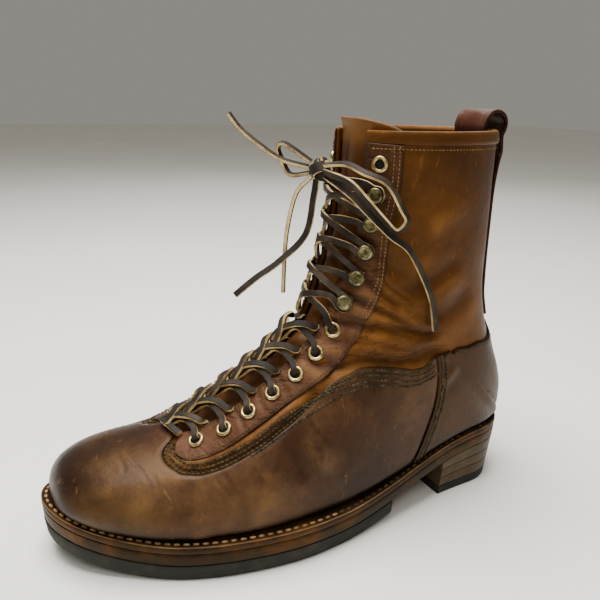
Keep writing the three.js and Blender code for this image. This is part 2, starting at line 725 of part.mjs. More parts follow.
const facingTop = clearance + facingThickness;
const fittings = [1, -1].map((side) => fittingRows(side).map((row) => ({
  row,
  side,
  point: surfacePoint(row, side, fittingInset),
  normal: surfaceNormal(row, side, fittingInset),
})));

// A solid turned from a profile of radius and height, standing on a fitting's place
function turned(name, profile, closed, place, segments) {
  const points = [];
  const faces = [];
  const turn = new THREE.Quaternion().setFromUnitVectors(new THREE.Vector3(0, 0, 1), place.normal);
  const rings = profile.map(([radius, height]) => {
    const ring = [];
    for (let i = 0; i < (radius > 0 ? segments : 1); i++) {
      const angle = (2 * Math.PI * i) / segments;
      const point = new THREE.Vector3(radius * Math.cos(angle), radius * Math.sin(angle), height);
      points.push(point.applyQuaternion(turn).add(place.point));
      ring.push(points.length - 1);
    }
    return ring;
  });
  const count = closed ? rings.length : rings.length - 1;
  for (let k = 0; k < count; k++) {
    const [low, high] = [rings[k], rings[(k + 1) % rings.length]];
    for (let i = 0; i < segments; i++) {
      const j = (i + 1) % segments;
      const [a, b] = [low[i % low.length], low[j % low.length]];
      const [c, d] = [high[j % high.length], high[i % high.length]];
      for (const face of [[a, b, c], [a, c, d]]) {
        if (new Set(face).size === 3) faces.push(face);
      }
    }
  }
  addPiece(name, { points, faces });
}

const seat = facingTop + clearance * 2;
const eyeletProfile = [
  [eyeletBore / 2, seat],
  [eyeletOuter / 2, seat],
  [eyeletOuter / 2 - 0.5, seat + 1],
  [eyeletBore / 2 + 0.4, seat + 1],
];
const hookProfile = [
  [0, seat],
  [hookHeadWidth * 0.46, seat],
  [hookHeadWidth * 0.46, seat + 0.7],
  [hookHeadWidth * 0.17, seat + 0.7],
  [hookHeadWidth * 0.17, seat + hookHeight * 0.62],
  [hookHeadWidth / 2, seat + hookHeight * 0.62],
  [hookHeadWidth * 0.34, seat + hookHeight * 0.92],
  [0, seat + hookHeight],
];
for (const [side, list] of [["lateral", fittings[0]], ["medial", fittings[1]]]) {
  list.forEach((place, i) => {
    const hook = i >= eyeletCount && i < eyeletCount + hookCount;
    if (hook) turned(`hook_${side}_${i - eyeletCount + 1}`, hookProfile, false, place, 7);
    else turned(`eyelet_${side}_${Math.min(i, eyeletCount) + 1}`, eyeletProfile, true, place, 8);
  });
}

// Lacing. A strand is a flat strip through places over the facings and the throat.
const laceHeight = seat + 1.35 + clearance + laceThickness / 2;

function over(row, side, across, height = laceHeight) {
  if (across === null) {
    const left = sectionLine(row, 1, 0);
    const ahead = sectionLine(row + 0.2, 1, 0)[0].sub(sectionLine(row - 0.2, 1, 0)[0]);
    const normal = new THREE.Vector3(0, -ahead.z, ahead.y).normalize();
    return { point: left[0].addScaledVector(normal, height), normal };
  }
  const normal = surfaceNormal(row, side, across);
  return { point: surfacePoint(row, side, across).addScaledVector(normal, height), normal };
}

function strand(places) {
  const points = [];
  const faces = [];
  places.forEach(({ point, normal }, i) => {
    const before = places[Math.max(i - 1, 0)].point;
    const after = places[Math.min(i + 1, places.length - 1)].point;
    const run = after.clone().sub(before).normalize();
    const wide = run.clone().cross(normal).normalize().multiplyScalar(laceWidth / 2);
    const deep = wide.clone().cross(run).normalize().multiplyScalar(laceThickness / 2);
    for (const [a, b] of [[1, 1], [-1, 1], [-1, -1], [1, -1]]) {
      points.push(point.clone().addScaledVector(wide, a).addScaledVector(deep, b));
    }
    for (let k = 0; i > 0 && k < 4; k++) {
      const [c, d] = [4 * i - 4 + k, 4 * i - 4 + ((k + 1) % 4)];
      faces.push([c, d + 4, d], [c, c + 4, d + 4]);
    }
  });
  const end = points.length - 4;
  faces.push([0, 1, 2], [0, 2, 3], [end, end + 2, end + 1], [end, end + 3, end + 2]);
  const make = (order) => wasm.Manifold.ofMesh(new wasm.Mesh({
    numProp: 3,
    vertProperties: new Float32Array(points.flatMap((p) => p.toArray())),
    triVerts: new Uint32Array(faces.flatMap(order)),
  }));
  const solid = make((face) => face);
  return solid.volume() > 0 ? solid : make(([a, b, c]) => [a, c, b]);
}

function addJoined(name, parts) {
  const mesh = wasm.Manifold.union(parts).getMesh();
  const points = [];
  for (let i = 0; i < mesh.numVert; i++) {
    points.push(new THREE.Vector3(...mesh.vertProperties.slice(i * mesh.numProp, i * mesh.numProp + 3)));
  }
  const faces = [];
  for (let i = 0; i < mesh.numTri; i++) faces.push([...mesh.triVerts.slice(3 * i, 3 * i + 3)]);
  addPiece(name, { points, faces });
}

// Below, each eyelet's strand rises to a twisted chain along the middle of the throat.
const chainLift = 0.3;
const lower = [];
const chain = [];
for (let i = 0; i < eyeletCount - 1; i++) {
  const middle = over(fittings[0][i].row + chainLift, 1, null);
  chain.push(middle);
  for (const list of fittings) {
    const { row, side } = list[i];
    lower.push(strand([over(row, side, fittingInset), over(row + 0.1, side, 1), middle]));
  }
}
lower.push(strand(chain));

const knotRow = 30.55;
const knotRadius = 6.5;
const knotStand = laceHeight + laceThickness / 2 + clearance * 1.5 + knotRadius;
const bowReach = 60;
const knotSideways = -6;

// Above, the two ends cross between the hooks, each passing round the outer side of its hooks.
const hookTurn = [
  { ahead: -3.5, out: -1.6 },
  { ahead: -3.2, out: 1.8 },
  { ahead: 0, out: 3.6 },
  { ahead: 3.2, out: 1.8 },
  { ahead: 3.5, out: -1.6 },
];
const upperLacing = [];
const hookRow = (side, i) => fittings[side][eyeletCount + i].row;
const sign = (side) => (side === 0 ? 1 : -1);

function roundHook(side, i) {
  const { row, point, normal } = fittings[side][eyeletCount + i];
  const ahead = surfacePoint(row + 0.1, sign(side), fittingInset).sub(point).normalize();
  const out = surfacePoint(row, sign(side), fittingInset + 1).sub(point);
  out.addScaledVector(ahead, -out.dot(ahead)).normalize();
  return hookTurn.map((turn) => {
    const place = point.clone().addScaledVector(normal, laceHeight);
    return { point: place.addScaledVector(ahead, turn.ahead).addScaledVector(out, turn.out), normal };
  });
}

for (const side of [0, 1]) {
  const other = 1 - side;
  const start = fittings[side][eyeletCount - 1];
  let from = [over(start.row, sign(side), fittingInset), over(start.row + 0.3, sign(side), 1)];
  for (let i = 0; i < hookCount; i++) {
    const to = i % 2 === 0 ? other : side;
    const path = roundHook(to, i);
    const entry = path[0];
    const crossing = (hookRow(to, i) + (i ? hookRow(1 - to, i - 1) : start.row)) / 2;
    const edge = over(crossing * 0.3 + hookRow(to, i) * 0.7, sign(to), 0.5);
    upperLacing.push(strand([...from, over(crossing, 1, null), edge, entry]));
    upperLacing.push(strand(path));
    from = [path.at(-1), over(hookRow(to, i) + 0.3, sign(to), 0.5)];
  }
  const end = over(knotRow, 1, null);
  end.point.setX(knotSideways);
  upperLacing.push(strand([...from, end]));
}
addJoined("lace_lower", lower);
addJoined("lace_upper", upperLacing);

// The bow. Columns: sideways, back and up from the middle of the knot, as shares of its reach.
const bow = {
  bow_loop_lateral: [
    { side: 0.17, back: 0.0, up: 0.07 },
    { side: 0.37, back: 0.08, up: 0.07 },
    { side: 0.57, back: 0.15, up: 0.01 },
    { side: 0.72, back: 0.31, up: -0.08 },
    { side: 0.79, back: 0.44, up: -0.31 },
    { side: 0.81, back: 0.49, up: -0.42 },
    { side: 0.76, back: 0.41, up: -0.52 },
    { side: 0.7, back: 0.3, up: -0.41 },
    { side: 0.62, back: 0.16, up: -0.24 },
    { side: 0.45, back: 0.07, up: -0.09 },
    { side: 0.2, back: -0.02, up: -0.04 },
  ],
  bow_loop_medial: [
    { side: -0.13, back: -0.08, up: 0.09 },
    { side: -0.27, back: -0.25, up: 0.22 },
    { side: -0.34, back: -0.29, up: 0.17 },
    { side: -0.34, back: -0.24, up: 0.05 },
    { side: -0.27, back: -0.18, up: -0.08 },
    { side: -0.12, back: -0.08, up: -0.07 },
  ],
  lace_end_a: [
    { side: -0.14, back: -0.13, up: 0.01 },
    { side: -0.22, back: -0.32, up: 0.08 },
    { side: -0.36, back: -0.5, up: 0.22 },
    { side: -0.45, back: -0.65, up: 0.36 },
    { side: -0.5, back: -0.75, up: 0.5 },
  ],
  lace_end_b: [
    { side: -0.03, back: -0.14, up: -0.14 },
    { side: -0.1, back: -0.2, up: -0.25 },
    { side: -0.1, back: -0.29, up: -0.58 },
    { side: -0.1, back: -0.32, up: -0.88 },
    { side: -0.1, back: -0.33, up: -1.25 },
  ],
  lace_end_c: [
    { side: 0.02, back: -0.05, up: -0.12 },
    { side: 0.0, back: -0.06, up: -0.28 },
    { side: -0.02, back: -0.13, up: -0.65 },
    { side: -0.07, back: -0.39, up: -0.91 },
    { side: -0.13, back: -0.63, up: -1.08 },
    { side: -0.2, back: -0.82, up: -1.25 },
  ],
  lace_end_d: [
    { side: 0.15, back: 0.03, up: -0.11 },
    { side: 0.4, back: 0.1, up: -0.2 },
    { side: 0.59, back: 0.2, up: -0.36 },
    { side: 0.71, back: 0.38, up: -0.56 },
    { side: 0.77, back: 0.56, up: -0.7 },
    { side: 0.8, back: 0.72, up: -0.95 },
    { side: 0.79, back: 0.88, up: -1.25 },
    { side: 0.78, back: 0.96, up: -1.57 },
  ],
};
const knot = over(knotRow, 1, null, knotStand).point.setX(knotSideways);

const ball = new THREE.IcosahedronGeometry(knotRadius, 1);
ball.translate(knot.x, knot.y, knot.z);
const knotMesh = new THREE.Mesh(ball, finish("bow_knot"));
knotMesh.name = "bow_knot";
group.add(knotMesh);

for (const [name, rows] of Object.entries(bow)) {
  const half = cordWidth / 2;
  const path = rows.map((r) => new THREE.Vector3(r.side, r.back, r.up).multiplyScalar(bowReach));
  path[0].setLength(knotRadius + clearance);
  if (name.startsWith("bow_loop")) path.at(-1).setLength(knotRadius + clearance);
  for (const point of path) point.add(knot);
  const points = [];
  const faces = [];
  path.forEach((center, i) => {
    const before = path[Math.max(i - 1, 0)];
    const after = path[Math.min(i + 1, path.length - 1)];
    const run = after.clone().sub(before).normalize();
    const guide = Math.abs(run.y) > 0.9 ? new THREE.Vector3(1, 0, 0) : new THREE.Vector3(0, 1, 0);
    const wide = run.clone().cross(guide).normalize();
    const deep = wide.clone().cross(run);
    for (const [a, b] of [[1, 0], [0, 1], [-1, 0], [0, -1]]) {
      points.push(center.clone().addScaledVector(wide, a * half).addScaledVector(deep, b * half));
    }
    for (let k = 0; i > 0 && k < 4; k++) {
      const [a, b] = [4 * i - 4 + k, 4 * i - 4 + ((k + 1) % 4)];
      faces.push([a, b, b + 4], [a, b + 4, a + 4]);
    }
  });
  const end = points.length - 4;
  faces.push([0, 2, 1], [0, 3, 2], [end, end + 1, end + 2], [end, end + 2, end + 3]);
  addPiece(name, { points, faces });
}

// The origin is under the middle of the boot, measured without the bow and the lace's ends.
const box = new THREE.Box3();
for (const mesh of group.children) {
  if (!(mesh.name in bow) && mesh !== knotMesh) box.expandByObject(mesh);
}
const middle = box.getCenter(new THREE.Vector3());
for (const mesh of group.children) mesh.geometry.translate(-middle.x, -middle.y, -box.min.z);

export default group;
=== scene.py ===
"""A worn lace-to-toe logger boot for the left foot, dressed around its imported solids."""
import math

import bmesh
import bpy
import numpy as np
from mathutils import Matrix, Vector
from mathutils.bvhtree import BVHTree


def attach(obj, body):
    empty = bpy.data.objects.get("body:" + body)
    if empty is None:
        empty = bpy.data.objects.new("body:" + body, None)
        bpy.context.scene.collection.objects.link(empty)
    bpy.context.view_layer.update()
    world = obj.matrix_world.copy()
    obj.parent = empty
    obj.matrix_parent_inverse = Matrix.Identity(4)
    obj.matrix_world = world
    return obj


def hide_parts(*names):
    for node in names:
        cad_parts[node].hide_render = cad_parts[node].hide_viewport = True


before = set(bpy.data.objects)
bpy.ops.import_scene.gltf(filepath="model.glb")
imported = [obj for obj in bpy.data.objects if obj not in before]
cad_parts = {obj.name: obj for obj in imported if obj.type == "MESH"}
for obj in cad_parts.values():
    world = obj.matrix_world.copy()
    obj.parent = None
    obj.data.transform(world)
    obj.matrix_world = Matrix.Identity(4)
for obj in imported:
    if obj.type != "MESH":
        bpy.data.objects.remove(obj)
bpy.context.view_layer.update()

# Camera. A phone held low beside the toe, looking back along the outer side of the boot.
# Its place is in millimetres from the middle of the sole, on the floor.
MM = 0.001
camera_place = (330.25, -176.8, 255.6)
camera_yaw = math.radians(61.85)
camera_pitch = math.radians(-17.28)
camera_roll = math.radians(1.25)
sensor_width = 36
focal_length = 38.63

looking = Vector((
    -math.sin(camera_yaw) * math.cos(camera_pitch),
    math.cos(camera_yaw) * math.cos(camera_pitch),
    math.sin(camera_pitch),
))
level_right = Vector((math.cos(camera_yaw), math.sin(camera_yaw), 0))
level_up = level_right.cross(looking)
right = level_right * math.cos(camera_roll) + level_up * math.sin(camera_roll)
up = level_up * math.cos(camera_roll) - level_right * math.sin(camera_roll)
turn = Matrix((right, up, -looking)).transposed().to_4x4()
phone = bpy.data.objects.new("phone", bpy.data.cameras.new("phone"))
phone.data.sensor_width = sensor_width
phone.data.lens = focal_length
phone.data.clip_start = 0.01
phone.matrix_world = Matrix.Translation(Vector(camera_place) * MM) @ turn
bpy.context.scene.collection.objects.link(phone)
bpy.context.scene.camera = phone

# The last, the beech form that the leather is pulled over. Its sections run from the toe up to
# the collar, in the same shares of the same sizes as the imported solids, all in millimetres.
last_length = 300
ball_width = 95
shaft_height = 195
throat_width = 34
toe_spring = 13
heel_rise = 20
welt_reach = 7
heel_welt_reach = 3.5
outsole_thickness = 10.5
midsole_thickness = 8
welt_thickness = 4.5
collar_row = 33

# Columns: how far along the last the ridge lies and how high it climbs, the same of the feather
# line, the half width, how high up it is widest, and the fullness above and below that
sections = np.array([
    (0.0, 0.0, 0.0, 0, 0.0, 0.4, 2.0, 2),
    (-0.002, 0.013, 0.0022, 0, 0.08, 0.4, 2.0, 2),
    (-0.002, 0.028, 0.007, 0, 0.145, 0.4, 2.0, 2),
    (0.0, 0.052, 0.015, 0, 0.2, 0.4, 2.0, 2),
    (0.007, 0.084, 0.028, 0, 0.265, 0.38, 2.0, 2),
    (0.022, 0.117, 0.047, 0, 0.328, 0.36, 2.0, 2),
    (0.048, 0.147, 0.07, 0, 0.385, 0.34, 2.0, 2),
    (0.083, 0.173, 0.1, 0, 0.437, 0.32, 2.0, 2),
    (0.124, 0.193, 0.137, 0, 0.48, 0.3, 2.0, 2),
    (0.169, 0.208, 0.177, 0, 0.51, 0.28, 2.0, 2),
    (0.212, 0.227, 0.217, 0, 0.53, 0.27, 2.0, 2),
    (0.247, 0.249, 0.256, 0, 0.543, 0.26, 2.05, 2),
    (0.293, 0.291, 0.305, 0, 0.548, 0.25, 1.98, 2),
    (0.337, 0.339, 0.358, 0, 0.536, 0.24, 1.92, 2),
    (0.379, 0.391, 0.418, 0, 0.51, 0.23, 1.86, 2),
    (0.42, 0.442, 0.486, 0, 0.475, 0.23, 1.82, 2),
    (0.459, 0.495, 0.563, 0, 0.444, 0.25, 1.8, 2),
    (0.497, 0.538, 0.648, 0, 0.419, 0.29, 1.8, 2),
    (0.5155, 0.572, 0.743, 0, 0.404, 0.34, 1.82, 2.05),
    (0.525, 0.585, 0.838, 0, 0.398, 0.39, 1.85, 1.9),
    (0.534, 0.607, 0.913, 0, 0.395, 0.43, 1.88, 1.8),
    (0.542, 0.6436, 0.965, 0, 0.394, 0.46, 1.9, 1.8),
    (0.549, 0.674, 1.0, 0, 0.394, 0.48, 1.92, 2.6),
    (0.5535, 0.695, 1.006, 0.045, 0.394, 0.49, 1.94, 2.65),
    (0.5578, 0.7154, 1.004, 0.095, 0.395, 0.5, 1.96, 2.65),
    (0.5618, 0.7359, 0.992, 0.155, 0.398, 0.5, 1.98, 2.6),
    (0.5658, 0.759, 0.974, 0.225, 0.4, 0.5, 2.0, 2.45),
    (0.5692, 0.782, 0.956, 0.305, 0.405, 0.5, 2.02, 2.3),
    (0.5725, 0.8077, 0.942, 0.395, 0.41, 0.5, 2.04, 2.2),
    (0.5755, 0.8359, 0.934, 0.495, 0.419, 0.5, 2.06, 2.1),
    (0.5778, 0.869, 0.931, 0.615, 0.427, 0.5, 2.08, 2.1),
    (0.5795, 0.91, 0.928, 0.75, 0.435, 0.5, 2.1, 2.1),
    (0.5805, 0.959, 0.924, 0.885, 0.442, 0.5, 2.1, 2.1),
    (0.581, 1.01, 0.918, 1.01, 0.447, 0.5, 2.1, 2.1),
    (0.5805, 1.045, 0.913, 1.07, 0.45, 0.5, 2.1, 2.1),
]).T
heel_row = 22
# Half width and sideways swing of the feather line, at each tenth of the last from the toe
feather_halves = np.array([
    0.45, 0.462, 0.487, 0.508, 0.497, 0.452, 0.4, 0.364, 0.345, 0.34, 0.335
])
feather_swings = np.array([
    -0.205, -0.17, -0.1, -0.035, 0.018, 0.05, 0.058, 0.046, 0.026, 0.01, 0.0
])
# Shares of the length over which the toe and the heel round off, and how full the heel is
toe_round = 0.26
heel_round = 0.105
heel_fullness = 2.05
# Shares of the length where the sole springs up, and where it climbs through the waist. Wear
# leaves part of the toe's spring
spring_end = 0.2
waist_start = 0.5
waist_length = 0.44
spring_left = 0.8
# Rows and half widths of the throat, as shares of its width at the collar
throat_rows = (10.4, 10.7, 11.3, 12.2, 14, 16, 18, 21, 26, 35)
throat_halves = (0, 0.5, 0.75, 0.84, 0.74, 0.66, 0.69, 0.83, 0.9, 1)
toe_y = -(last_length + welt_reach + heel_welt_reach) / 2 + welt_reach
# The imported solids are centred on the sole, which swings to the inner side
frame_shift = 2.7475


def between(column, row):
    """Catmull-Rom values of a column of numbers at fractional rows."""
    row = np.clip(row, 0, len(column) - 1)
    i = np.minimum(row.astype(int), len(column) - 2)
    t = row - i
    b, c = column[i], column[i + 1]
    a = np.where(i > 0, column[np.maximum(i - 1, 0)], 2 * b - c)
    d = np.where(i + 2 < len(column), column[np.minimum(i + 2, len(column) - 1)], 2 * c - b)
    return 0.5 * (
        2 * b + (c - a) * t + (2 * a - 5 * b + 4 * c - d) * t**2 + (3 * b - a - 3 * c + d) * t**3
    )


def feather_half(along):
    """Half width of the last along its feather line, rounded off at both ends."""
    body = between(feather_halves, along * 10) * ball_width
    toe = np.clip(along / toe_round, 0, 1)
    heel = np.clip((1 - along) / heel_round, 0, 1)
    rounded = body * (1 - (1 - toe) ** 2) ** (1 / 2)
    return rounded * (1 - (1 - heel) ** heel_fullness) ** (1 / heel_fullness)


def feather_swing(along):
    """How far the middle of the sole lies to the outer side."""
    return between(feather_swings, along * 10) * ball_width


def tread_rise(along):
    """Height of the sole's underside: sprung at the toe, and climbing through the waist."""
    spring = np.maximum(spring_end - along, 0) / spring_end
    t = np.clip((along - waist_start) / waist_length, 0, 1)
    return toe_spring * spring_left * spring**2 + heel_rise * t * t * (3 - 2 * t)


# Heights of the sole's layers, each at a share of the way along the last
def outsole_top(along):
    return tread_rise(along) + outsole_thickness


def midsole_top(along):
    return outsole_top(along) + midsole_thickness


def welt_top(along):
    return midsole_top(along) + welt_thickness


# The last's surface as lines of even steps from ridge to feather line or back seam, one line
# for each fortieth of a row
line_step = 0.025
line_rows = np.arange(0, len(sections[0]) - 1 + line_step / 2, line_step)
line_samples = 400
arc_samples = 81
# The sides stand out past the feather line by at least this much
feather_overhang = 1.01


def last_lines():
    """Points of the lines, their lengths, and how far each swings sideways."""
    ridge, climb, keel, rise, wide, belly, crown, base = (
        between(column, line_rows)[:, None] for column in sections
    )
    under = np.clip(keel, 0, 1)
    floor = welt_top(np.minimum(keel, 1))
    low = [toe_y + last_length * keel, floor + rise * shaft_height]
    high = [toe_y + last_length * ridge, floor + climb * shaft_height]
    chord = np.where(line_rows[:, None] < heel_row, feather_half(under), 0)
    half = np.maximum(wide * ball_width, chord * feather_overhang)
    quarter = np.linspace(0, math.pi / 2, arc_samples)[None]
    rising = np.cos(quarter)
    falling = np.sin(quarter[:, 1:])
    above = half * np.maximum(1 - rising**crown, 0) ** (1 / crown)
    below = chord + (half - chord) * np.maximum(1 - falling**base, 0) ** (1 / base)
    across = np.hstack([above, below])
    share = np.hstack([belly + (1 - belly) * rising, belly * (1 - falling)])
    line = np.stack([across] + [a + (b - a) * share for a, b in zip(low, high)], axis=2)
    steps = np.linalg.norm(np.diff(line, axis=1), axis=2)
    along = np.hstack([np.zeros((len(steps), 1)), np.cumsum(steps, axis=1)])
    even = np.linspace(0, 1, line_samples + 1)
    table = np.stack([
        np.stack([np.interp(even * a[-1], a, p[:, k]) for k in range(3)], axis=1)
        for a, p in zip(along, line)
    ])
    return table, along[:, -1], feather_swing(under[:, 0])


last_table, last_girths, last_swings = last_lines()


def girth(row):
    """Length of a section of the last on one side, from its ridge to its feather line or seam."""
    return np.interp(row, line_rows, last_girths)


def last_point(row, across):
    """Points of the last at a row and a distance from the ridge, positive to the outer side."""
    row, across = np.broadcast_arrays(np.asarray(row, float), np.asarray(across, float))
    share = np.clip(np.abs(across) / np.maximum(girth(row), 1e-6), 0, 1) * line_samples
    i = np.clip((row / line_step).astype(int), 0, len(line_rows) - 2)
    j = np.minimum(share.astype(int), line_samples - 1)
    s = np.clip(row / line_step - i, 0, 1)[..., None]
    t = (share - j)[..., None]
    near = last_table[i, j] * (1 - t) + last_table[i, j + 1] * t
    far = last_table[i + 1, j] * (1 - t) + last_table[i + 1, j + 1] * t
    point = near * (1 - s) + far * s
    swing = np.interp(row, line_rows, last_swings)
    side = np.where(across < 0, -1, 1)
    return np.stack([swing + side * point[..., 0] + frame_shift, point[..., 1], point[..., 2]], -1)


def last_normal(row, across):
    """The way out of the last's surface. On the back seam it looks straight back."""
    step, reach, seam_reach = 0.05, 0.6, 0.05
    ahead = last_point(np.add(row, step), across) - last_point(np.subtract(row, step), across)
    over = last_point(row, np.add(across, reach)) - last_point(row, np.subtract(across, reach))
    normal = np.cross(over, ahead)
    seam = (np.asarray(row) >= heel_row) & (girth(row) - np.abs(across) < seam_reach)
    normal[..., 0] = np.where(seam, 0, normal[..., 0])
    return normal / np.maximum(np.linalg.norm(normal, axis=-1, keepdims=True), 1e-9)


def on_last(row, across, height):
    """Points at a height off the last."""
    return last_point(row, across) + last_normal(row, across) * np.asarray(height, float)[..., None]


def throat_half(row):
    """Half the width of the throat, straight across."""
    return throat_width / 2 * np.interp(row, throat_rows, throat_halves)


def throat_edge(row):
    """Distance from the ridge to the edge of the throat, along a section."""
    row = np.asarray(row, float)
    i = np.clip((row / line_step).round().astype(int), 0, len(line_rows) - 1)
    wanted = np.atleast_1d(throat_half(row))
    upper_half = line_samples // 2
    even = np.arange(upper_half) / line_samples
    lines = last_table[np.atleast_1d(i), :upper_half, 0]
    shares = [np.interp(width, line, even) for width, line in zip(wanted, lines)]
    return (np.array(shares) * girth(np.atleast_1d(row))).reshape(row.shape)


# The bow. One end of a flat rawhide lace, 3.6 mm wide with a dark oiled face and pale cut
# edges, is tied over the tongue: a knot, two loops and two long ends, with two more hanging.
lace_width = 3.6
lace_thickness = 2.3
lace_stand = 4.7
solid_lace_thickness = 1.9
clearance = 0.3
knot_row = 30.55
knot_radius = 6.5
knot_sideways = -6
bow_reach = 60
route_step = 1.2
fine_route_step = 0.9


def colour(code):
    """An sRGB hex value as the linear colour that a shader takes."""
    values = [int(code[i:i + 2], 16) / 255 for i in (1, 3, 5)]
    linear = [v / 12.92 if v <= 0.04045 else ((v + 0.055) / 1.055) ** 2.4 for v in values]
    return (*linear, 1)


def add(material, kind, settings=None, stops=(), **inputs):
    """Adds a node and gives its outputs. An input is a value or another node's output."""
    node = material.node_tree.nodes.new("ShaderNode" + kind)
    for key, value in (settings or {}).items():
        setattr(node, key, value)
    while stops and len(node.color_ramp.elements) < len(stops):
        node.color_ramp.elements.new(0.5)
    for i, (place, code) in enumerate(stops):
        node.color_ramp.elements[i].position = place
        node.color_ramp.elements[i].color = colour(code)
    for key, value in inputs.items():
        socket = node.inputs[int(key[1:]) if key[0] == "_" else key.replace("_", " ")]
        if isinstance(value, bpy.types.NodeSocket):
            material.node_tree.links.new(value, socket)
        else:
            socket.default_value = value
    return node.outputs


def new_material(name):
    """An empty material, and the place in the piece that its patterns read."""
    material = bpy.data.materials.new(name)
    material.use_nodes = True
    material.node_tree.nodes.clear()
    return material, add(material, "TexCoord")["Object"]


def oiled_rawhide():
    """Flat rawhide steeped in oil: nearly black brown, with rubbed grey patches."""
    material, place = new_material("oiled_rawhide")
    patches = add(material, "TexNoise", Vector=place, Scale=70, Detail=5)[0]
    tint = add(
        material, "ValToRGB", Fac=patches,
        stops=((0.3, "#14100b"), (0.52, "#251d14"), (0.72, "#41362a")),
    )[0]
    gloss = add(material, "MapRange", Value=patches, To_Min=0.45, To_Max=0.75)[0]
    fibre = add(material, "TexNoise", Vector=place, Scale=900, Detail=3)[0]
    raised = add(material, "Bump", Height=fibre, Distance=0.00015)[0]
    shader = add(
        material, "BsdfPrincipled", Base_Color=tint, Roughness=gloss, Normal=raised,
        Specular_IOR_Level=0.2,
    )[0]
    add(material, "OutputMaterial", Surface=shader)
    return material


def cut_rawhide():
    """The cut side of the lace: pale hide that the oil never reached, a little dirty."""
    material, place = new_material("cut_rawhide_edge")
    patches = add(material, "TexNoise", Vector=place, Scale=110, Detail=5)[0]
    tint = add(
        material, "ValToRGB", Fac=patches,
        stops=((0.32, "#84693f"), (0.5, "#c2a56c"), (0.7, "#dcc48e")),
    )[0]
    fibre = add(material, "TexNoise", Vector=place, Scale=1200, Detail=3)[0]
    raised = add(material, "Bump", Height=fibre, Distance=0.0001)[0]
    shader = add(material, "BsdfPrincipled", Base_Color=tint, Roughness=0.62, Normal=raised)[0]
    add(material, "OutputMaterial", Surface=shader)
    return material


rawhide = [oiled_rawhide(), cut_rawhide()]


def smooth_route(points, step):
    """A Catmull-Rom curve through points, as points about a step apart."""
    points = np.asarray(points, float)
    count = max(2, int(np.linalg.norm(np.diff(points, axis=0), axis=1).sum() / step) + 1)
    dense = np.linspace(0, len(points) - 1, count * 4)
    curve = np.stack([between(points[:, k], dense) for k in range(points.shape[1])], axis=1)
    along = np.r_[0, np.cumsum(np.linalg.norm(np.diff(curve[:, :3], axis=0), axis=1))]
    even = np.linspace(0, along[-1], count)
    return np.stack([np.interp(even, along, curve[:, k]) for k in range(curve.shape[1])], axis=1)


def wrap(mesh, rings, paint=None):
    """A surface through rings of points: a grid wrapped round, its seam merged, its ends filled."""
    rings = np.asarray(rings)
    rows, columns = rings.shape[:2]
    made = bmesh.ops.create_grid(mesh, x_segments=columns, y_segments=rows - 1, size=0.5)["verts"]
    for face in {face for vert in made for face in vert.link_faces}:
        if paint is not None:
            column = int((face.calc_center_median().x + 0.5) * columns) % columns
            face.material_index = paint[column]
        face.smooth = True
    for vert in made:
        column = round((vert.co.x + 0.5) * columns) % columns
        row = round((vert.co.y + 0.5) * (rows - 1))
        vert.co = Vector(rings[row, column]) * MM
    bmesh.ops.remove_doubles(mesh, verts=made, dist=0.000005)
    made = [vert for vert in made if vert.is_valid]
    open_edges = {edge for vert in made for edge in vert.link_edges if edge.is_boundary}
    capped = bmesh.ops.holes_fill(mesh, edges=list(open_edges), sides=0)["faces"]
    if paint is not None:
        for face in capped:
            face.material_index = 1


def lace_rings(route, guides, width=lace_width, thickness=lace_thickness):
    """Sections of a flat lace along a route. A guide is the way its broad face looks."""
    run = np.gradient(route, axis=0)
    run /= np.linalg.norm(run, axis=1, keepdims=True)
    wide = np.cross(run, guides)
    wide /= np.maximum(np.linalg.norm(wide, axis=1, keepdims=True), 1e-9)
    deep = np.cross(wide, run)
    corner = 0.72
    outline = [(1, corner), (corner, 1), (-corner, 1), (-1, corner),
               (-1, -corner), (-corner, -1), (corner, -1), (1, -corner)]
    w, t = width / 2, thickness / 2
    cut = w - (1 - corner) * t
    squeeze = [(a * w if abs(a) == 1 else np.sign(a) * cut, b * t) for a, b in outline]
    return np.stack([route + wide * a + deep * b for a, b in squeeze], axis=1)


# Columns of a lace's grid: its two narrow sides are pale cut edge, the rest is oiled
lace_paint = [0, 0, 0, 1, 0, 0, 0, 1]


def steady_guides(route, first):
    """Face directions that turn as little as they can along a route, from a first one."""
    run = np.gradient(route, axis=0)
    run /= np.linalg.norm(run, axis=1, keepdims=True)
    guide = np.asarray(first, float)
    guides = []
    for r in run:
        guide = guide - r * guide.dot(r)
        guide /= np.linalg.norm(guide)
        guides.append(guide)
    return np.array(guides)


# Edges that turn more than this stay sharp to the eye
sharp_angle = math.radians(38)


def make_piece(name, mesh, materials, recalc=True):
    """A finished mesh as an object that rides on the boot."""
    if recalc:
        bmesh.ops.recalc_face_normals(mesh, faces=mesh.faces)
    for edge in mesh.edges:
        edge.smooth = len(edge.link_faces) != 2 or edge.calc_face_angle() < sharp_angle
    data = bpy.data.meshes.new(name)
    mesh.to_mesh(data)
    mesh.free()
    for material in materials:
        data.materials.append(material)
    piece = bpy.data.objects.new(name, data)
    bpy.context.scene.collection.objects.link(piece)
    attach(piece, "root")
    return piece


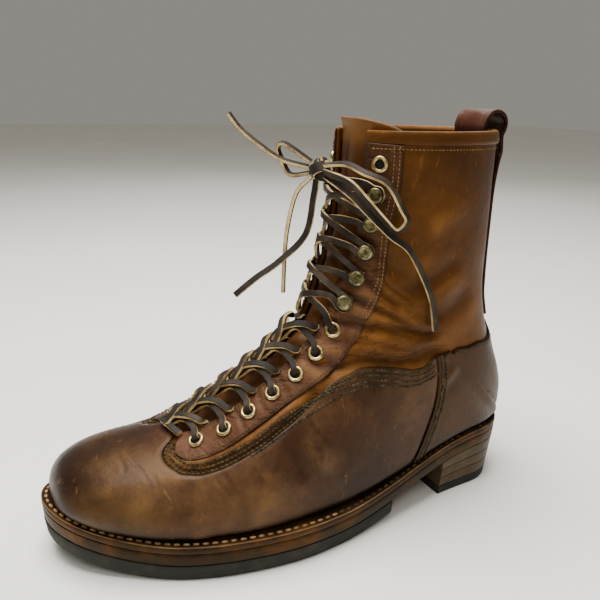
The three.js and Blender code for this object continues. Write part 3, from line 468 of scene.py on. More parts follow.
# Sideways, back and up from the middle of the knot, as shares of its reach, as in the solids
bow_routes = {
    "bow_loop_lateral": [
        (0.17, 0.0, 0.07), (0.37, 0.08, 0.07), (0.57, 0.15, 0.01), (0.72, 0.31, -0.08),
        (0.79, 0.44, -0.31), (0.81, 0.49, -0.42), (0.76, 0.41, -0.52), (0.7, 0.3, -0.41),
        (0.62, 0.16, -0.24), (0.45, 0.07, -0.09), (0.2, -0.02, -0.04),
    ],
    "bow_loop_medial": [
        (-0.13, -0.08, 0.09), (-0.27, -0.25, 0.22), (-0.34, -0.29, 0.17), (-0.34, -0.24, 0.05),
        (-0.27, -0.18, -0.08), (-0.12, -0.08, -0.07),
    ],
    "lace_end_a": [
        (-0.14, -0.13, 0.01), (-0.22, -0.32, 0.08), (-0.36, -0.5, 0.22), (-0.45, -0.65, 0.36),
        (-0.5, -0.75, 0.5),
    ],
    "lace_end_b": [
        (-0.03, -0.14, -0.14), (-0.1, -0.2, -0.25), (-0.1, -0.29, -0.58), (-0.1, -0.32, -0.88),
        (-0.1, -0.33, -1.25),
    ],
    "lace_end_c": [
        (0.02, -0.05, -0.12), (0.0, -0.06, -0.28), (-0.02, -0.13, -0.65), (-0.07, -0.39, -0.91),
        (-0.13, -0.63, -1.08), (-0.2, -0.82, -1.25),
    ],
    "lace_end_d": [
        (0.15, 0.03, -0.11), (0.4, 0.1, -0.2), (0.59, 0.2, -0.36), (0.71, 0.38, -0.56),
        (0.77, 0.56, -0.7), (0.8, 0.72, -0.95), (0.79, 0.88, -1.25), (0.78, 0.96, -1.57),
    ],
}
# The way the broad face of each looks where it leaves the knot
bow_faces = {
    "bow_loop_lateral": (0.25, -0.35, 1.0), "bow_loop_medial": (0.6, 0.2, 1.0),
    "lace_end_a": (0.5, 0.3, 1.0), "lace_end_b": (-0.8, -1.0, 0.2),
    "lace_end_c": (0.7, -1.0, 0.1), "lace_end_d": (0.6, -0.6, 0.8),
}
knot_stand = lace_stand + solid_lace_thickness / 2 + clearance * 1.5 + knot_radius
knot = on_last(knot_row, 0.0, knot_stand)
knot[0] = knot_sideways + frame_shift
knot_turns = 2.15
knot_half_length = 2.6
knot_samples = 90
wrap_radius = knot_radius - 1.6


def tie_knot():
    """Two wraps of the lace round the bundle, with the crossing strands packed inside."""
    mesh = bmesh.new()
    lean = Vector((0.55, 0.1, -0.83)).normalized()
    side = lean.cross(Vector((0, 1, 0))).normalized()
    front = side.cross(lean)
    turns = np.linspace(0, 2 * math.pi * knot_turns, knot_samples)
    drift = np.linspace(-knot_half_length, knot_half_length, knot_samples)
    wrap_route = np.array([
        Vector(knot) + lean * d + (side * math.cos(a) + front * math.sin(a)) * wrap_radius
        for a, d in zip(turns, drift)
    ])
    outward = wrap_route - np.array([Vector(knot) + lean * d for d in drift])
    wrap(mesh, lace_rings(wrap_route, outward), lace_paint)
    bundle = [
        [(-5, 1, 4.2), (-1.5, -1.5, 1.5), (2, -1.6, -1.2), (5.2, 0.5, -3.2)],
        [(-4.5, -3, -1.5), (-1.2, -0.4, -0.6), (2.5, 1.2, 1.8), (5.6, 1.5, 3.4)],
        [(-1, 2.2, 5.6), (-0.6, 1.6, 1.5), (0.4, 0.6, -2.5), (0.6, -1.5, -6.2)],
    ]
    for points in bundle:
        route = smooth_route(np.array(points) + knot, 0.8)
        wrap(mesh, lace_rings(route, steady_guides(route, (0.2, -1, 0.4))), lace_paint)
    return make_piece("knot_wraps", mesh, rawhide)


knot_piece = tie_knot()
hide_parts("bow_knot")

for name, rows in bow_routes.items():
    points = np.array(rows) * bow_reach
    points[0] *= (knot_radius + clearance) / np.linalg.norm(points[0])
    if name.startswith("bow_loop"):
        points[-1] *= (knot_radius + clearance) / np.linalg.norm(points[-1])
    route = smooth_route(points + knot, route_step)
    mesh = bmesh.new()
    wrap(mesh, lace_rings(route, steady_guides(route, bow_faces[name])), lace_paint)
    strand = make_piece(name + "_lace", mesh, rawhide)
    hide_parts(name)


# Upper: quarters of thick oil-tanned cattle hide, one wall from the feather line to the collar,
# open down the throat. Years of walking have set deep folds round the ankle.
upper_wall = 2.6
slit_row = 10.4


def along_last(y):
    """The share of the way from toe to heel."""
    return (y - toe_y) / last_length


# Top edge of the second layer: its height over the feather line, by row
counter_height = 103
seam_rows = (
    9.8, 10.4, 11.25, 12.25, 13.25, 14.75, 16.25, 17.5, 18.25, 19.4, 20.75, 22.75, 25, 27, 27.6, 34
)
seam_highs = (
    0.417, 0.393, 0.408, 0.456, 0.51, 0.621, 0.796, 0.835, 0.806, 0.738, 0.874, 1, 0.709, 0.262,
    0.136, 0.136,
)
# Millimetres added where the sections turn from the feather line to the back seam
turn_rows = (21.2, 21.5, 21.7, 21.9, 22.2, 22.4, 22.6, 23)
turn_lifts = (0, 2, 4.1, 7.3, 8.1, 4.9, 2.4, 0)


def seam_height(row):
    """Height of the vamp's or counter's top edge over the feather line, round its corners."""
    soften = np.linspace(-0.35, 0.35, 9)
    spread = np.interp(np.add.outer(row, soften), seam_rows, seam_highs)
    return counter_height * spread.mean(axis=-1) + np.interp(row, turn_rows, turn_lifts)


def lay(mesh, points, outward, **layers):
    """Lays a grid's corners on points in rows and columns, and keeps a value of each layer."""
    rows, columns = points.shape[:2]
    floats = mesh.verts.layers.float
    kept = {key: floats.get(key) or floats.new(key) for key in layers}
    grid = bmesh.ops.create_grid(mesh, x_segments=columns - 1, y_segments=rows - 1, size=0.5)
    made = grid["verts"]
    places = [
        (round((v.co.y + 0.5) * (rows - 1)), round((v.co.x + 0.5) * (columns - 1))) for v in made
    ]
    for vert, place in zip(made, places):
        vert.co = points[place] * MM
        for key, layer in kept.items():
            vert[layer] = float(layers[key][place])
    faces = list({face for vert in made for face in vert.link_faces})
    middle = made[len(made) // 2]
    middle.normal_update()
    for face in faces:
        face.smooth = True
        face.normal_update()
    wanted = Vector(outward[places[len(made) // 2]])
    if sum(face.normal.dot(wanted) for face in middle.link_faces) < 0:
        bmesh.ops.reverse_faces(mesh, faces=faces)


def near(points, trace):
    """Distance of points from a line through a few places, and how far along it they lie."""
    flat = points.reshape(-1, 3)
    best = np.full(len(flat), 1e9)
    share = np.zeros(len(flat))
    for i in range(len(trace) - 1):
        a, b = trace[i], trace[i + 1]
        ab = b - a
        t = np.clip((flat - a) @ ab / max(ab @ ab, 1e-9), 0, 1)
        gap = np.linalg.norm(flat - a - t[:, None] * ab, axis=1)
        closer = gap < best
        best[closer] = gap[closer]
        share[closer] = (i + t[closer]) / (len(trace) - 1)
    return best.reshape(points.shape[:-1]), share.reshape(points.shape[:-1])


def trace_on_last(places, side):
    """Points in space of a line given as rows and distances from the ridge."""
    places = np.asarray(places, float)
    return on_last(places[:, 0], places[:, 1] * side, 0.0)


# A fold's ridges: how far out they stand and how wide they are, in widths of the trough, and
# their height as a share of its depth. Then how the fold fades in and out over its length
ridge_reach = 2.3
ridge_width = 1.2
ridge_share = 0.45
fold_fade = 5
deepest_fold = 1.2


def creased(points, folds, side):
    """Height changes from folds, each a soft trough between two low ridges, and the painted shade in
    their troughs.
    """
    height = np.zeros(points.shape[:-1])
    dark = np.zeros(points.shape[:-1])
    for width, depth, places in folds:
        trace = smooth_route(trace_on_last(places, side), 4)
        gap, share = near(points, trace)
        fade = np.clip(np.minimum(share, 1 - share) * fold_fade, 0, 1) ** 0.7
        trough = np.exp(-((gap / width) ** 2))
        ridge = np.exp(-(((gap - ridge_reach * width) / (ridge_width * width)) ** 2))
        height += fade * depth * (ridge_share * ridge - trough)
        pressed_shade = fade * np.clip(depth, 0, deepest_fold) / deepest_fold
        dark = np.maximum(dark, pressed_shade * np.exp(-((gap / (0.8 * width)) ** 2)))
    return height, dark


# Width and depth in millimetres, then places as a row and a distance from the ridge
shaft_folds = [
    (3.4, 2.2, [
        (15.6, 29), (16.3, 34), (17.25, 44), (18, 57), (18.75, 73), (19.6, 85), (20.6, 95), (22, 107),
    ]),
    (2.4, 1.7, [(17, 16), (18, 30), (19, 47), (20, 63), (21.75, 89), (23, 100)]),
    (2.0, 1.2, [(18.75, 17), (19.5, 30), (20, 43), (20.5, 58), (21, 75)]),
    (1.8, 0.9, [(21.25, 24), (21.3, 38), (21.25, 50), (21.6, 62)]),
    (5.5, 1.3, [(23.2, 56), (24, 64), (26, 74), (27.75, 83), (29, 92)]),
    (6.0, 1.0, [(22.6, 84), (24.2, 92), (26, 101), (28, 108)]),
    (3.5, 0.7, [(23.6, 20), (24, 33), (24.4, 46), (24.6, 58)]),
    (1.3, 0.5, [(19.2, 52), (19.9, 66), (20.5, 82)]),
    (1.2, 0.5, [(18.2, 44), (18.9, 60), (19.4, 74)]),
    (1.2, 0.5, [(17.6, 36), (18.3, 50), (19, 66), (19.9, 80)]),
    (1.1, 0.4, [(16.6, 30), (17.4, 40), (18.3, 52)]),
    (1.1, 0.4, [(20.3, 34), (20.7, 48), (21.2, 64)]),
    (1.2, 0.4, [(22.3, 40), (22.5, 55), (23, 68)]),
    (1.0, 0.35, [(19.8, 22), (20.4, 36), (20.8, 50)]),
    (5.0, -0.9, [(16.1, 36), (17.1, 48), (17.8, 62), (18.5, 78), (19.3, 92)]),
    (2.7, -1.6, [
        (9.9, 20), (9.75, 26), (10.3, 32), (11.2, 36), (12.4, 37.4), (13.6, 37), (14.8, 35.6), (15.6, 37),
    ]),
    (7.0, -0.8, [(29, 60), (30, 72), (31, 84)]),
]


def quarter_places():
    """Rows and distances from the ridge of one quarter's grid, from the throat to its far edge."""
    rows = np.linspace(0, collar_row, 232)
    shares = np.linspace(0, 1, 80)
    start = np.where(rows > slit_row, throat_edge(rows), 0.0)
    return rows[:, None] + 0 * shares, start[:, None] + (girth(rows) - start)[:, None] * shares


def oiled_leather(name, dark, middle, light, shade_colour, worn, gloss, grain=0.00016, patch=24, coat=0.03):
    """Oil-tanned hide: clouded colour, with painted shade in the folds, grooves and fine wrinkles,
    and paler where it is rubbed and where highlights are painted on raised places, under a fine
    pebbled grain with a waxy, satin gloss. Where it flexes it is finely wrinkled."""
    material, place = new_material(name)
    cloud = add(material, "TexNoise", Vector=place, Scale=8, Detail=3, Roughness=0.5)[0]
    mottle = add(material, "TexNoise", Vector=place, Scale=patch, Detail=8, Roughness=0.66)[0]
    both = add(material, "Math", {"operation": "ADD"}, _0=cloud, _1=mottle)[0]
    even = add(material, "Math", {"operation": "MULTIPLY"}, _0=both, _1=0.5)[0]
    tint = add(material, "ValToRGB", Fac=even, stops=((0.38, dark), (0.5, middle), (0.62, light)))[0]
    shade = add(material, "Attribute", {"attribute_name": "shade"})["Fac"]
    rub = add(material, "Attribute", {"attribute_name": "rub"})["Fac"]
    flex = add(material, "Attribute", {"attribute_name": "flex"})["Fac"]
    shaded = add(material, "Mix", {"data_type": "RGBA"}, _0=shade, _6=tint, _7=colour(shade_colour))[2]
    patchy = add(material, "MapRange", Value=mottle, From_Min=0.38, From_Max=0.62)[0]
    rubbed = add(material, "Math", {"operation": "MULTIPLY"}, _0=rub, _1=patchy)[0]
    bright = add(material, "Mix", {"data_type": "RGBA"}, _0=rubbed, _6=shaded, _7=colour(worn))[2]
    long = add(material, "Mapping", Vector=place, Scale=(1, 3.2, 1), Rotation=(0.5, 0.3, 0.2))[0]
    hair = add(material, "TexNoise", Vector=long, Scale=75, Detail=6, Roughness=0.75, Distortion=0.6)[0]
    scuff = add(material, "MapRange", Value=hair, From_Min=0.6, From_Max=0.72, To_Max=0.5)[0]
    scuffed = add(material, "Mix", {"data_type": "RGBA"}, _0=scuff, _6=bright, _7=colour(worn))[2]
    level = add(material, "Mapping", Vector=place, Scale=(0.35, 0.5, 1.5), Rotation=(0.35, 0, 0))[0]
    lines = add(material, "TexNoise", Vector=level, Scale=170, Detail=5, Roughness=0.6, Distortion=0.9)[0]
    crinkle = add(material, "MapRange", Value=lines, From_Min=0.34, From_Max=0.5)[0]
    pressed_shade = add(material, "MapRange", Value=lines, From_Min=0.44, From_Max=0.3)[0]
    wrinkle_shade = add(material, "Math", {"operation": "MULTIPLY"}, _0=pressed_shade, _1=flex)[0]
    final = add(material, "Mix", {"data_type": "RGBA"}, _0=wrinkle_shade, _6=scuffed, _7=colour(shade_colour))[2]
    folds = add(material, "Math", {"operation": "MULTIPLY"}, _0=crinkle, _1=flex)[0]
    pebbles = add(material, "TexVoronoi", {"feature": "SMOOTH_F1"}, Vector=place, Scale=900)[0]
    wrinkles = add(material, "TexNoise", Vector=place, Scale=190, Detail=6, Roughness=0.6)[0]
    pores = add(material, "Bump", Height=pebbles, Distance=grain, Strength=0.5)[0]
    uneven = add(material, "Bump", Height=wrinkles, Distance=grain * 4, Strength=0.5, Normal=pores)[0]
    raised = add(material, "Bump", Height=folds, Distance=0.0011, Strength=0.8, Normal=uneven)[0]
    sheen = add(
        material, "MapRange", Value=mottle, From_Min=0.3, From_Max=0.7,
        To_Min=gloss - 0.08, To_Max=gloss + 0.14,
    )[0]
    shader = add(
        material, "BsdfPrincipled", Base_Color=final, Roughness=sheen, Normal=raised,
        Specular_IOR_Level=0.2, Specular_Tint=colour("#dcae82"), Coat_Weight=coat, Coat_Roughness=0.22,
    )[0]
    add(material, "OutputMaterial", Surface=shader)
    return material


def sheet_piece(name, mesh, leather, thickness, joined=None):
    """A piece cut from sheet leather: its halves joined at the ridge and the back seam, with a
    wall on its inner side."""
    if joined:
        bmesh.ops.remove_doubles(mesh, verts=mesh.verts, dist=joined)
        bmesh.ops.recalc_face_normals(mesh, faces=mesh.faces)
    piece = make_piece(name, mesh, [leather], recalc=False)
    shell = piece.modifiers.new("wall", "SOLIDIFY")
    shell.thickness = thickness * MM
    shell.offset = -1
    return piece


shaft_leather = oiled_leather(
    "oil_tanned_shaft_hide", "#3b220c", "#513010", "#663e18", "#1a0d04", "#8a5c2c", 0.42
)
# The row where the ankle bends, and how many rows its fine wrinkles spread over
ankle_row = 18.8
ankle_spread = 3.4


def ankle_flex(row, across):
    """How finely the hide is wrinkled, with painted shade in its wrinkles: most in front of the
    ankle, none near the heel.
    """
    front = np.clip(1.25 - across / 110, 0, 1)
    return np.exp(-(((row - ankle_row) / ankle_spread) ** 2)) * front


# The hollow's depth, how far its middle lies from the back seam, its width and its first row
hollow_depth = 3.8
hollow_reach = 22
hollow_width = 11
hollow_row = 27


def beside_strap(row, across):
    """Depth of the hollow each side of the back strap, where the shaft falls in a little."""
    from_seam = girth(row) - across
    rising = np.clip((row - hollow_row) / 1.5, 0, 1) * np.clip((collar_row - 0.1 - row) / 1.2, 0, 1)
    return hollow_depth * rising * np.exp(-(((from_seam - hollow_reach) / hollow_width) ** 2))


# Towards the toe from this row, the vamp covers the upper from side to side
whole_vamp_row = 9.4


def covered(row, across):
    """Where the second layer lies over the quarters, from 0 to 1 a little inside its edge."""
    edge = np.where(row < whole_vamp_row, -5, girth(row) - seam_height(row))
    return np.clip((across - edge - 2) / 3, 0, 1)


# One pale scratch under the collar, on the outer side
shaft_scratch = [(32, 48.5), (31.5, 48.5), (30.75, 46.3)]
scratch_width = 0.5
# How far the upper is pressed in under the second layer
covered_sink = 0.9
# Where the hide is darker: a band under the rows of thread, up to a row of the last, painted
# shade in the groove at the feather line, and the rim under the collar
sewn_row = 15.8
sewn_band = 9.5
sewn_shade = 0.55
feather_shade_reach = 5
collar_dark_row = 31.2
mesh = bmesh.new()
for side in (1, -1):
    row, across = quarter_places()
    points = last_point(row, across * side)
    normals = last_normal(row, across * side)
    height, dark = creased(points, shaft_folds, side)
    under = covered(row, across)
    height = height * (1 - under) - covered_sink * under - beside_strap(row, across)
    low = np.exp(-((girth(row) - across) / feather_shade_reach) ** 2) * (row < heel_row)
    collar = np.clip((row - collar_dark_row) / 1.8, 0, 1)
    points = points + normals * height[..., None]
    floor = welt_top(along_last(points[..., 1])) + clearance
    points[..., 2] = np.maximum(points[..., 2], floor)
    edge = girth(row) - seam_height(row)
    sewn = np.where(row < sewn_row, np.clip((across - edge + sewn_band) / 3, 0, 1), 0)
    sewn = np.maximum(sewn, np.clip((10.3 - row) / 0.3, 0, 1))
    far, _ = near(points, trace_on_last(shaft_scratch, side))
    mark = 0.9 * np.exp(-((far / scratch_width) ** 2)) * (side > 0)
    # Painted shade in the fold troughs, added to the darker places above
    shade = np.clip(dark * 0.4 + low + collar * 0.2 + sewn_shade * sewn, 0, 1)
    # Painted highlight on the raised fold ridges, with the pale scratch
    rub = np.clip(height, 0, 1) * 0.5 + mark
    lay(mesh, points, normals, shade=shade, rub=rub, flex=ankle_flex(row, across))
upper = sheet_piece("shaft_quarters", mesh, shaft_leather, upper_wall, joined=0.00003)
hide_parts("upper")


# Vamp: a second, thicker layer over the toe and the sides of the foot, cut in a deep U round
# the bottom of the throat. Its edge is skived and held by three rows of waxed thread, with a
# fourth at the ankle.
vamp_thickness = 1.3
vamp_wall = 0.9
vamp_corner = 9.8
counter_front = 17.3
counter_lean = 3.3
lean_rows = (13, 23)


def seam_lean(row):
    """How far a line up from the feather line leans towards the heel at its top, in rows."""
    first, last = lean_rows
    rising = (row - first) / (counter_front - first)
    falling = (last - row) / (last - counter_front)
    return counter_lean * np.clip(np.minimum(np.minimum(rising, falling), 1), 0, None)


def below_seam(row, drop):
    """Row and distance from the ridge of places on a leaning line, at a share of the way down."""
    row, drop = np.broadcast_arrays(np.asarray(row, float), np.asarray(drop, float))
    lean = seam_lean(row)
    place = row + lean * (1 - drop)
    return place, girth(place) - seam_height(row + lean) * (1 - drop)


# Width of a pared edge, and of the one beside the facing, where the rows of thread press it flat
edge_roll = 1.1
soft_roll = 4.5
edge_height = 0.2


def skived(points, trace, thickness, roll):
    """Height of a laid-on piece whose edge is pared away along a line."""
    gap, _ = near(points, trace)
    t = np.clip(gap / roll, 0, 1)
    return edge_height + (clearance + thickness - edge_height) * np.sqrt(1 - (1 - t) ** 2), gap


corner_share = float(1 - seam_height(vamp_corner) / girth(vamp_corner))
# The end of the U: its row, by distance from the ridge
vamp_reach = (0, 7, 11, 15, 19, 25, 30, 36)
vamp_rows = (10.32, 10.3, 10.0, 9.62, 9.42, 9.36, 9.48, vamp_corner)


def vamp_end(share):
    """Row where the vamp ends, at a share of the way from the ridge to the corner of the U."""
    soften = np.linspace(-0.05, 0.05, 7)
    reach = np.add.outer(np.clip(share, 0, 1), soften) * vamp_reach[-1]
    soft = np.interp(reach, vamp_reach, vamp_rows)
    return np.where(share >= 1, vamp_corner, soft.mean(axis=-1))


def vamp_edge():
    """The vamp's edge on one side, from the ridge round the end of the facing to the counter."""
    v = np.linspace(0, 1, 30)[:-1]
    row = vamp_end(v)
    across = v * corner_share * girth(row)
    place, far = below_seam(np.linspace(vamp_corner + 0.02, counter_front, 46), 0.0)
    return np.stack([np.r_[row, place], np.r_[across, far]], axis=1)


# Shares of a grid's width at which its lines crowd against a pared edge
fine_edge = np.array([0, 0.003, 0.008, 0.016, 0.028])
vamp_folds = [
    (1.0, 0.5, [(15, 46), (15.1, 53), (15.25, 60), (15.4, 68)]),
    (0.9, 0.45, [(14.1, 52), (14.25, 58), (14.5, 66), (14.5, 74)]),
    (0.8, 0.45, [(11.2, 46), (11.3, 52), (11.5, 58), (11.6, 64)]),
    (0.8, 0.4, [(11.5, 47), (11.65, 53), (11.8, 60)]),
    (0.8, 0.3, [(12.5, 50), (12.7, 60), (12.6, 68)]),
    (0.8, 0.3, [(8.2, 20), (8.4, 28), (8.5, 36)]),
    (0.8, 0.25, [(7.6, 8), (7.8, 18), (7.7, 27)]),
    (0.8, 0.25, [(8.7, 30), (8.8, 36), (8.75, 42)]),
    (4.5, 0.8, [(13.9, 50), (14.1, 62), (14.2, 76)]),
    (4.5, 0.6, [(11.5, 52), (11.9, 66), (11.7, 80)]),
    (6.0, -0.8, [(14.75, 57), (15, 68), (14.9, 80)]),
    (5.0, -0.6, [(12.9, 55), (13, 66), (12.8, 78)]),
    (6.0, -0.5, [(9.9, 55), (10.2, 68), (10, 80)]),
]
# Golden spots, partly rubbed wear and partly painted sheen, and places scratched, as rows and
# distances from the ridge
golden = [
    (7.25, 15.3), (6.75, 34), (8, 43.7), (9.25, 40.4), (10.25, 45.5), (13, 57.5), (5.5, 38), (15, 72),
]
golden_radius = 11
golden_rub = 0.32
scratches = [[(7.25, 40.3), (7.75, 45.2)], [(8.5, 43.4), (8.25, 47.6)], [(10.4, 60), (10.9, 66)]]
vamp_scratch_width = 0.7
vamp_scratch_rub = 1.3
# How a sheet draws in at the feather line, and how wide the painted shade lies there, in the
# groove over the welt
tuck_width = 4.2
tuck_depth = 2.4
feather_shade_width = 9.5
# How dark the painted shade is along a pared edge, where its rim would catch the light
edge_shade = 0.75
# The toe is darkened with painted shade, which fades out over so many rows, up to this one
toe_shade = 0.66
toe_shade_row = 10.5
toe_shade_rows = 5.5

vamp_leather = oiled_leather(
    "oil_tanned_vamp_hide", "#231610", "#3b271b", "#5a4028", "#0b0604", "#7d5c33", 0.36,
    grain=0.00011, coat=0.04,
)


def dress_sheet(mesh, places, side, edge, thickness, folds, low=True, rubbed=True, flex=0.0,
                roll=edge_roll):
    """Lays a sheet of hide on the last, pared along its edge and creased, with painted shade in
    its creases, along its edge and over the toe, and painted highlights on its raised folds. A
    low one is drawn in and darkened with painted shade at the feather line, and a rubbed one
    has the golden spots, partly rubbed wear and partly painted sheen, and the scratches."""
    row, across = places
    points = last_point(row, across * side)
    normals = last_normal(row, across * side)
    height, gap = skived(points, edge, thickness, roll)
    fold, dark = creased(points, folds, side)
    under = girth(row) - across
    on_feather = (row < heel_row) & low
    tucked = np.where(on_feather, np.exp(-((under / tuck_width) ** 2)), 0)
    height = height + fold - tucked * tuck_depth
    points = points + normals * height[..., None]
    floor = welt_top(along_last(points[..., 1])) + clearance + 0.1
    points[..., 2] = np.maximum(points[..., 2], floor)
    # Painted shade in the groove over the welt
    grimed = np.where(on_feather, np.exp(-((under / feather_shade_width) ** 2)), 0)
    at_toe = toe_shade * np.clip((toe_shade_row - row) / toe_shade_rows, 0, 1)
    at_edge = np.exp(-((gap / 1.0) ** 2)) * edge_shade
    shade = np.clip(dark * 0.45 + grimed * 1.1 + at_toe + at_edge, 0, 1)
    rub = np.zeros(row.shape)
    if rubbed:
        for place in golden:
            far = np.linalg.norm(points - last_point(place[0], place[1] * side), axis=-1)
            rub = np.maximum(rub, golden_rub * np.exp(-((far / golden_radius) ** 2)))
        for mark in scratches:
            far, _ = near(points, trace_on_last(mark, side))
            rub = np.maximum(rub, vamp_scratch_rub * np.exp(-((far / vamp_scratch_width) ** 2)))
    # Painted highlight: the raised ridges and bulges of the folds are lighter
    rub = np.maximum(rub, np.clip(fold * 0.6, 0, 0.5))
    lay(mesh, points, normals, shade=shade, rub=rub, flex=flex + 0 * row)


mesh = bmesh.new()
side_drops = np.r_[fine_edge, np.linspace(0.05, 1, 58)]
# The soft roll ends between these rows, at the ankle
roll_rows = (14.6, 16.6)
for side in (1, -1):
    edge = trace_on_last(vamp_edge(), side)
    inner = np.linspace(0, 1, 48)[:-1] * corner_share
    outer = corner_share + (1 - corner_share) * side_drops
    v = np.r_[inner, outer]
    ends = vamp_end(v / corner_share)
    t = np.r_[np.linspace(0, 0.965, 96), 1 - fine_edge[::-1]]
    row = t[:, None] * ends
    places = row, v * girth(row)
    dress_sheet(mesh, places, side, edge, vamp_thickness, vamp_folds, roll=soft_roll)
    back = np.linspace(vamp_corner, counter_front, 96)
    places = below_seam(back[:, None], side_drops[None])
    roll = np.interp(places[0], roll_rows, (soft_roll, edge_roll))
    dress_sheet(mesh, places, side, edge, vamp_thickness, vamp_folds, roll=roll)
vamp = sheet_piece("vamp_panel", mesh, vamp_leather, vamp_wall, joined=0.00002)
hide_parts("vamp")


# Counter: a stiffened piece round the heel, from the back edge of the vamp, rising to a soft
# point each side and dipping to the back seam. It is moulded hard and creases little.
counter_thickness = 1.5
counter_wall = 1.0
counter_start = counter_front + 0.1
counter_back = 27.6
counter_folds = [(3.0, -0.6, [(19.5, 114), (20.5, 119), (21.5, 122)])]
counter_leather = oiled_leather(
    "moulded_counter_hide", "#20130a", "#2d1b0e", "#3e2813", "#0e0805", "#6a4d35", 0.38,
    grain=0.00011,
)


def counter_edge():
    """The counter's edge on one side, up its front, along its top and down the back seam."""
    drop = np.linspace(1, 0, 24)
    place, far = below_seam(counter_start, drop)
    back = np.linspace(counter_start, counter_back, 60)
    top, top_far = below_seam(back, 0.0)
    end, end_far = below_seam(counter_back, np.linspace(0, 1, 10))
    return np.stack([np.r_[place, top, end], np.r_[far, top_far, end_far]], axis=1)


mesh = bmesh.new()
for side in (1, -1):
    edge = trace_on_last(counter_edge(), side)
    rows = np.r_[counter_start + 10 * fine_edge, np.linspace(17.8, counter_back, 96)]
    places = below_seam(rows[:, None], side_drops[None])
    dress_sheet(mesh, places, side, edge, counter_thickness, counter_folds, rubbed=False)
counter = sheet_piece("heel_counter", mesh, counter_leather, counter_wall, joined=0.00002)
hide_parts("counter")


# Facings: a doubled strip of hide down each side of the throat, which carries the eyelets and
# the hooks. Its back edge is skived and sewn, and it puckers between the fittings.
facing_thickness = 1.2
facing_wall = 0.8
# Distances of its two edges from the ridge, by row
facing_rows = (
    9.86, 9.93, 10.05, 10.3, 10.7, 11.75, 13.75, 15, 16.25, 18, 20, 21.75, 23.75, 26.5, 28, 30.75, 33
)
facing_ends = (23, 26, 28.5, 31, 33, 35.5, 33.5, 32.5, 36, 40, 44, 45, 42.5, 39.5, 38.5, 39.5, 38.5)
facing_start_rows = (9.86, 9.93, 10.05, 10.25, 10.5, 10.75)
facing_starts = (21, 18, 15.5, 12.5, 10.5, 9.2)
# Over its round end, up to this row, the outer edge isn't smoothed
rounded_row = 11.3
facing_leather = oiled_leather(
    "doubled_facing_hide", "#351f14", "#482d1e", "#5d4030", "#170c06", "#87623d", 0.4,
    grain=0.00018,
)
# The facing ends at this row, under the collar's binding
binding_row = 32.4


def facing_end(row):
    """Distance of its sewn edge from the ridge, smooth above the round end."""
    soften = np.linspace(-0.5, 0.5, 9)
    smooth = np.interp(np.add.outer(row, soften), facing_rows, facing_ends).mean(axis=-1)
    return np.where(row < rounded_row, np.interp(row, facing_rows, facing_ends), smooth)


def facing_start(row):
    """The facing follows the throat, and rounds off below it over the end of the slit."""
    rounded = np.interp(row, facing_start_rows, facing_starts)
    return np.where(row < facing_start_rows[-1], rounded, throat_edge(row))


facing_folds = [
    (3.4, 1.9, [(16.0, 16), (16.3, 28), (16.9, 40)]),
    (2.6, 1.6, [(17, 14), (18, 29), (19, 46)]),
    (2.2, 1.3, [(18.75, 14), (19.5, 30), (20, 43)]),
    (2.2, 1.0, [(21.25, 14), (21.3, 30), (21.25, 46)]),
    (1.2, 0.5, [(12.7, 14), (12.8, 24), (12.7, 33)]),
    (1.2, 0.5, [(13.8, 14), (13.7, 24), (13.8, 32)]),
    (1.2, 0.5, [(14.8, 13), (14.7, 22), (14.8, 31)]),
    (3.0, 0.8, [(24.7, 16), (24.9, 28), (24.6, 40)]),
    (2.6, 0.6, [(27.7, 16), (27.9, 27), (27.6, 38)]),
]
for name, side in (("lateral", 1), ("medial", -1)):
    mesh = bmesh.new()
    rows = np.r_[np.linspace(facing_rows[0], 10.6, 20), np.linspace(10.65, binding_row, 236)]
    shares = np.r_[0, 0.008, 0.02, 0.04, np.linspace(0.07, 0.93, 34), 0.96, 0.98, 0.992, 1]
    start, end = facing_start(rows), facing_end(rows)
    across = start[:, None] + (end - start)[:, None] * shares
    row = rows[:, None] + 0 * shares
    outline = np.stack([np.r_[rows, rows[::-1]], np.r_[start, end[::-1]]], axis=1)[::3]
    flex = 0.45 + 0.4 * np.exp(-((row - 17) / 4) ** 2)
    dress_sheet(mesh, (row, across), side, trace_on_last(outline, side), facing_thickness,
                facing_folds, low=False, rubbed=False, flex=flex)
    facing = sheet_piece(f"facing_{name}_strip", mesh, facing_leather, facing_wall)
    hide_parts(f"facing_{name}")


# Collar binding: a strip of thin hide rolled over the top edge of the shaft and turned inside,
# with a shallow groove under it where the fold was hammered down.
binding_wall = 0.5
# Past the last row, the rows that a millimetre of height takes
rows_per_mm = 0.075
binding_rub_row = 32.95
# Distance under the collar and height off the last, from the outer edge over to the inner
binding_profile = [
    (6.8, 0.45), (6.5, 0.85), (6.0, 1.1), (4.6, 1.25), (2.6, 1.15), (1.0, 0.85), (-0.4, 0.3),
    (-0.8, -0.9), (-0.6, -2.3), (0.3, -3.2), (1.6, -3.4), (4.8, -3.4), (6.6, -3.1),
]


def below_collar(share, drop):
    """Row at a depth under the collar, at a share of the way round from throat to back seam."""
    rows = np.linspace(31, collar_row, 41)
    across = throat_edge(rows) + (girth(rows) - throat_edge(rows)) * share
    height = last_point(rows, across)[:, 2]
    return float(np.interp(height[-1] - drop, height, rows))


mesh = bmesh.new()
for side in (1, -1):
    shares = np.linspace(0, 1, 150)
    row = np.array([
        [below_collar(share, max(drop, 0)) + max(-drop, 0) * rows_per_mm for share in shares]
        for drop, _ in binding_profile
    ])
    heights = np.array([height for _, height in binding_profile])
    start = throat_edge(np.minimum(row, collar_row).ravel()).reshape(row.shape)
    across = start + (girth(row) - start) * shares
    points = last_point(row, across * side)
    normals = last_normal(np.minimum(row, collar_row), across * side)
    lay(mesh, points + normals * heights[:, None, None], normals,
        shade=0.12 + 0 * row, rub=np.where(row > binding_rub_row, 0.7, 0))
binding = sheet_piece("rolled_collar_binding", mesh, shaft_leather, binding_wall, joined=0.00002)
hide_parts("collar_binding")


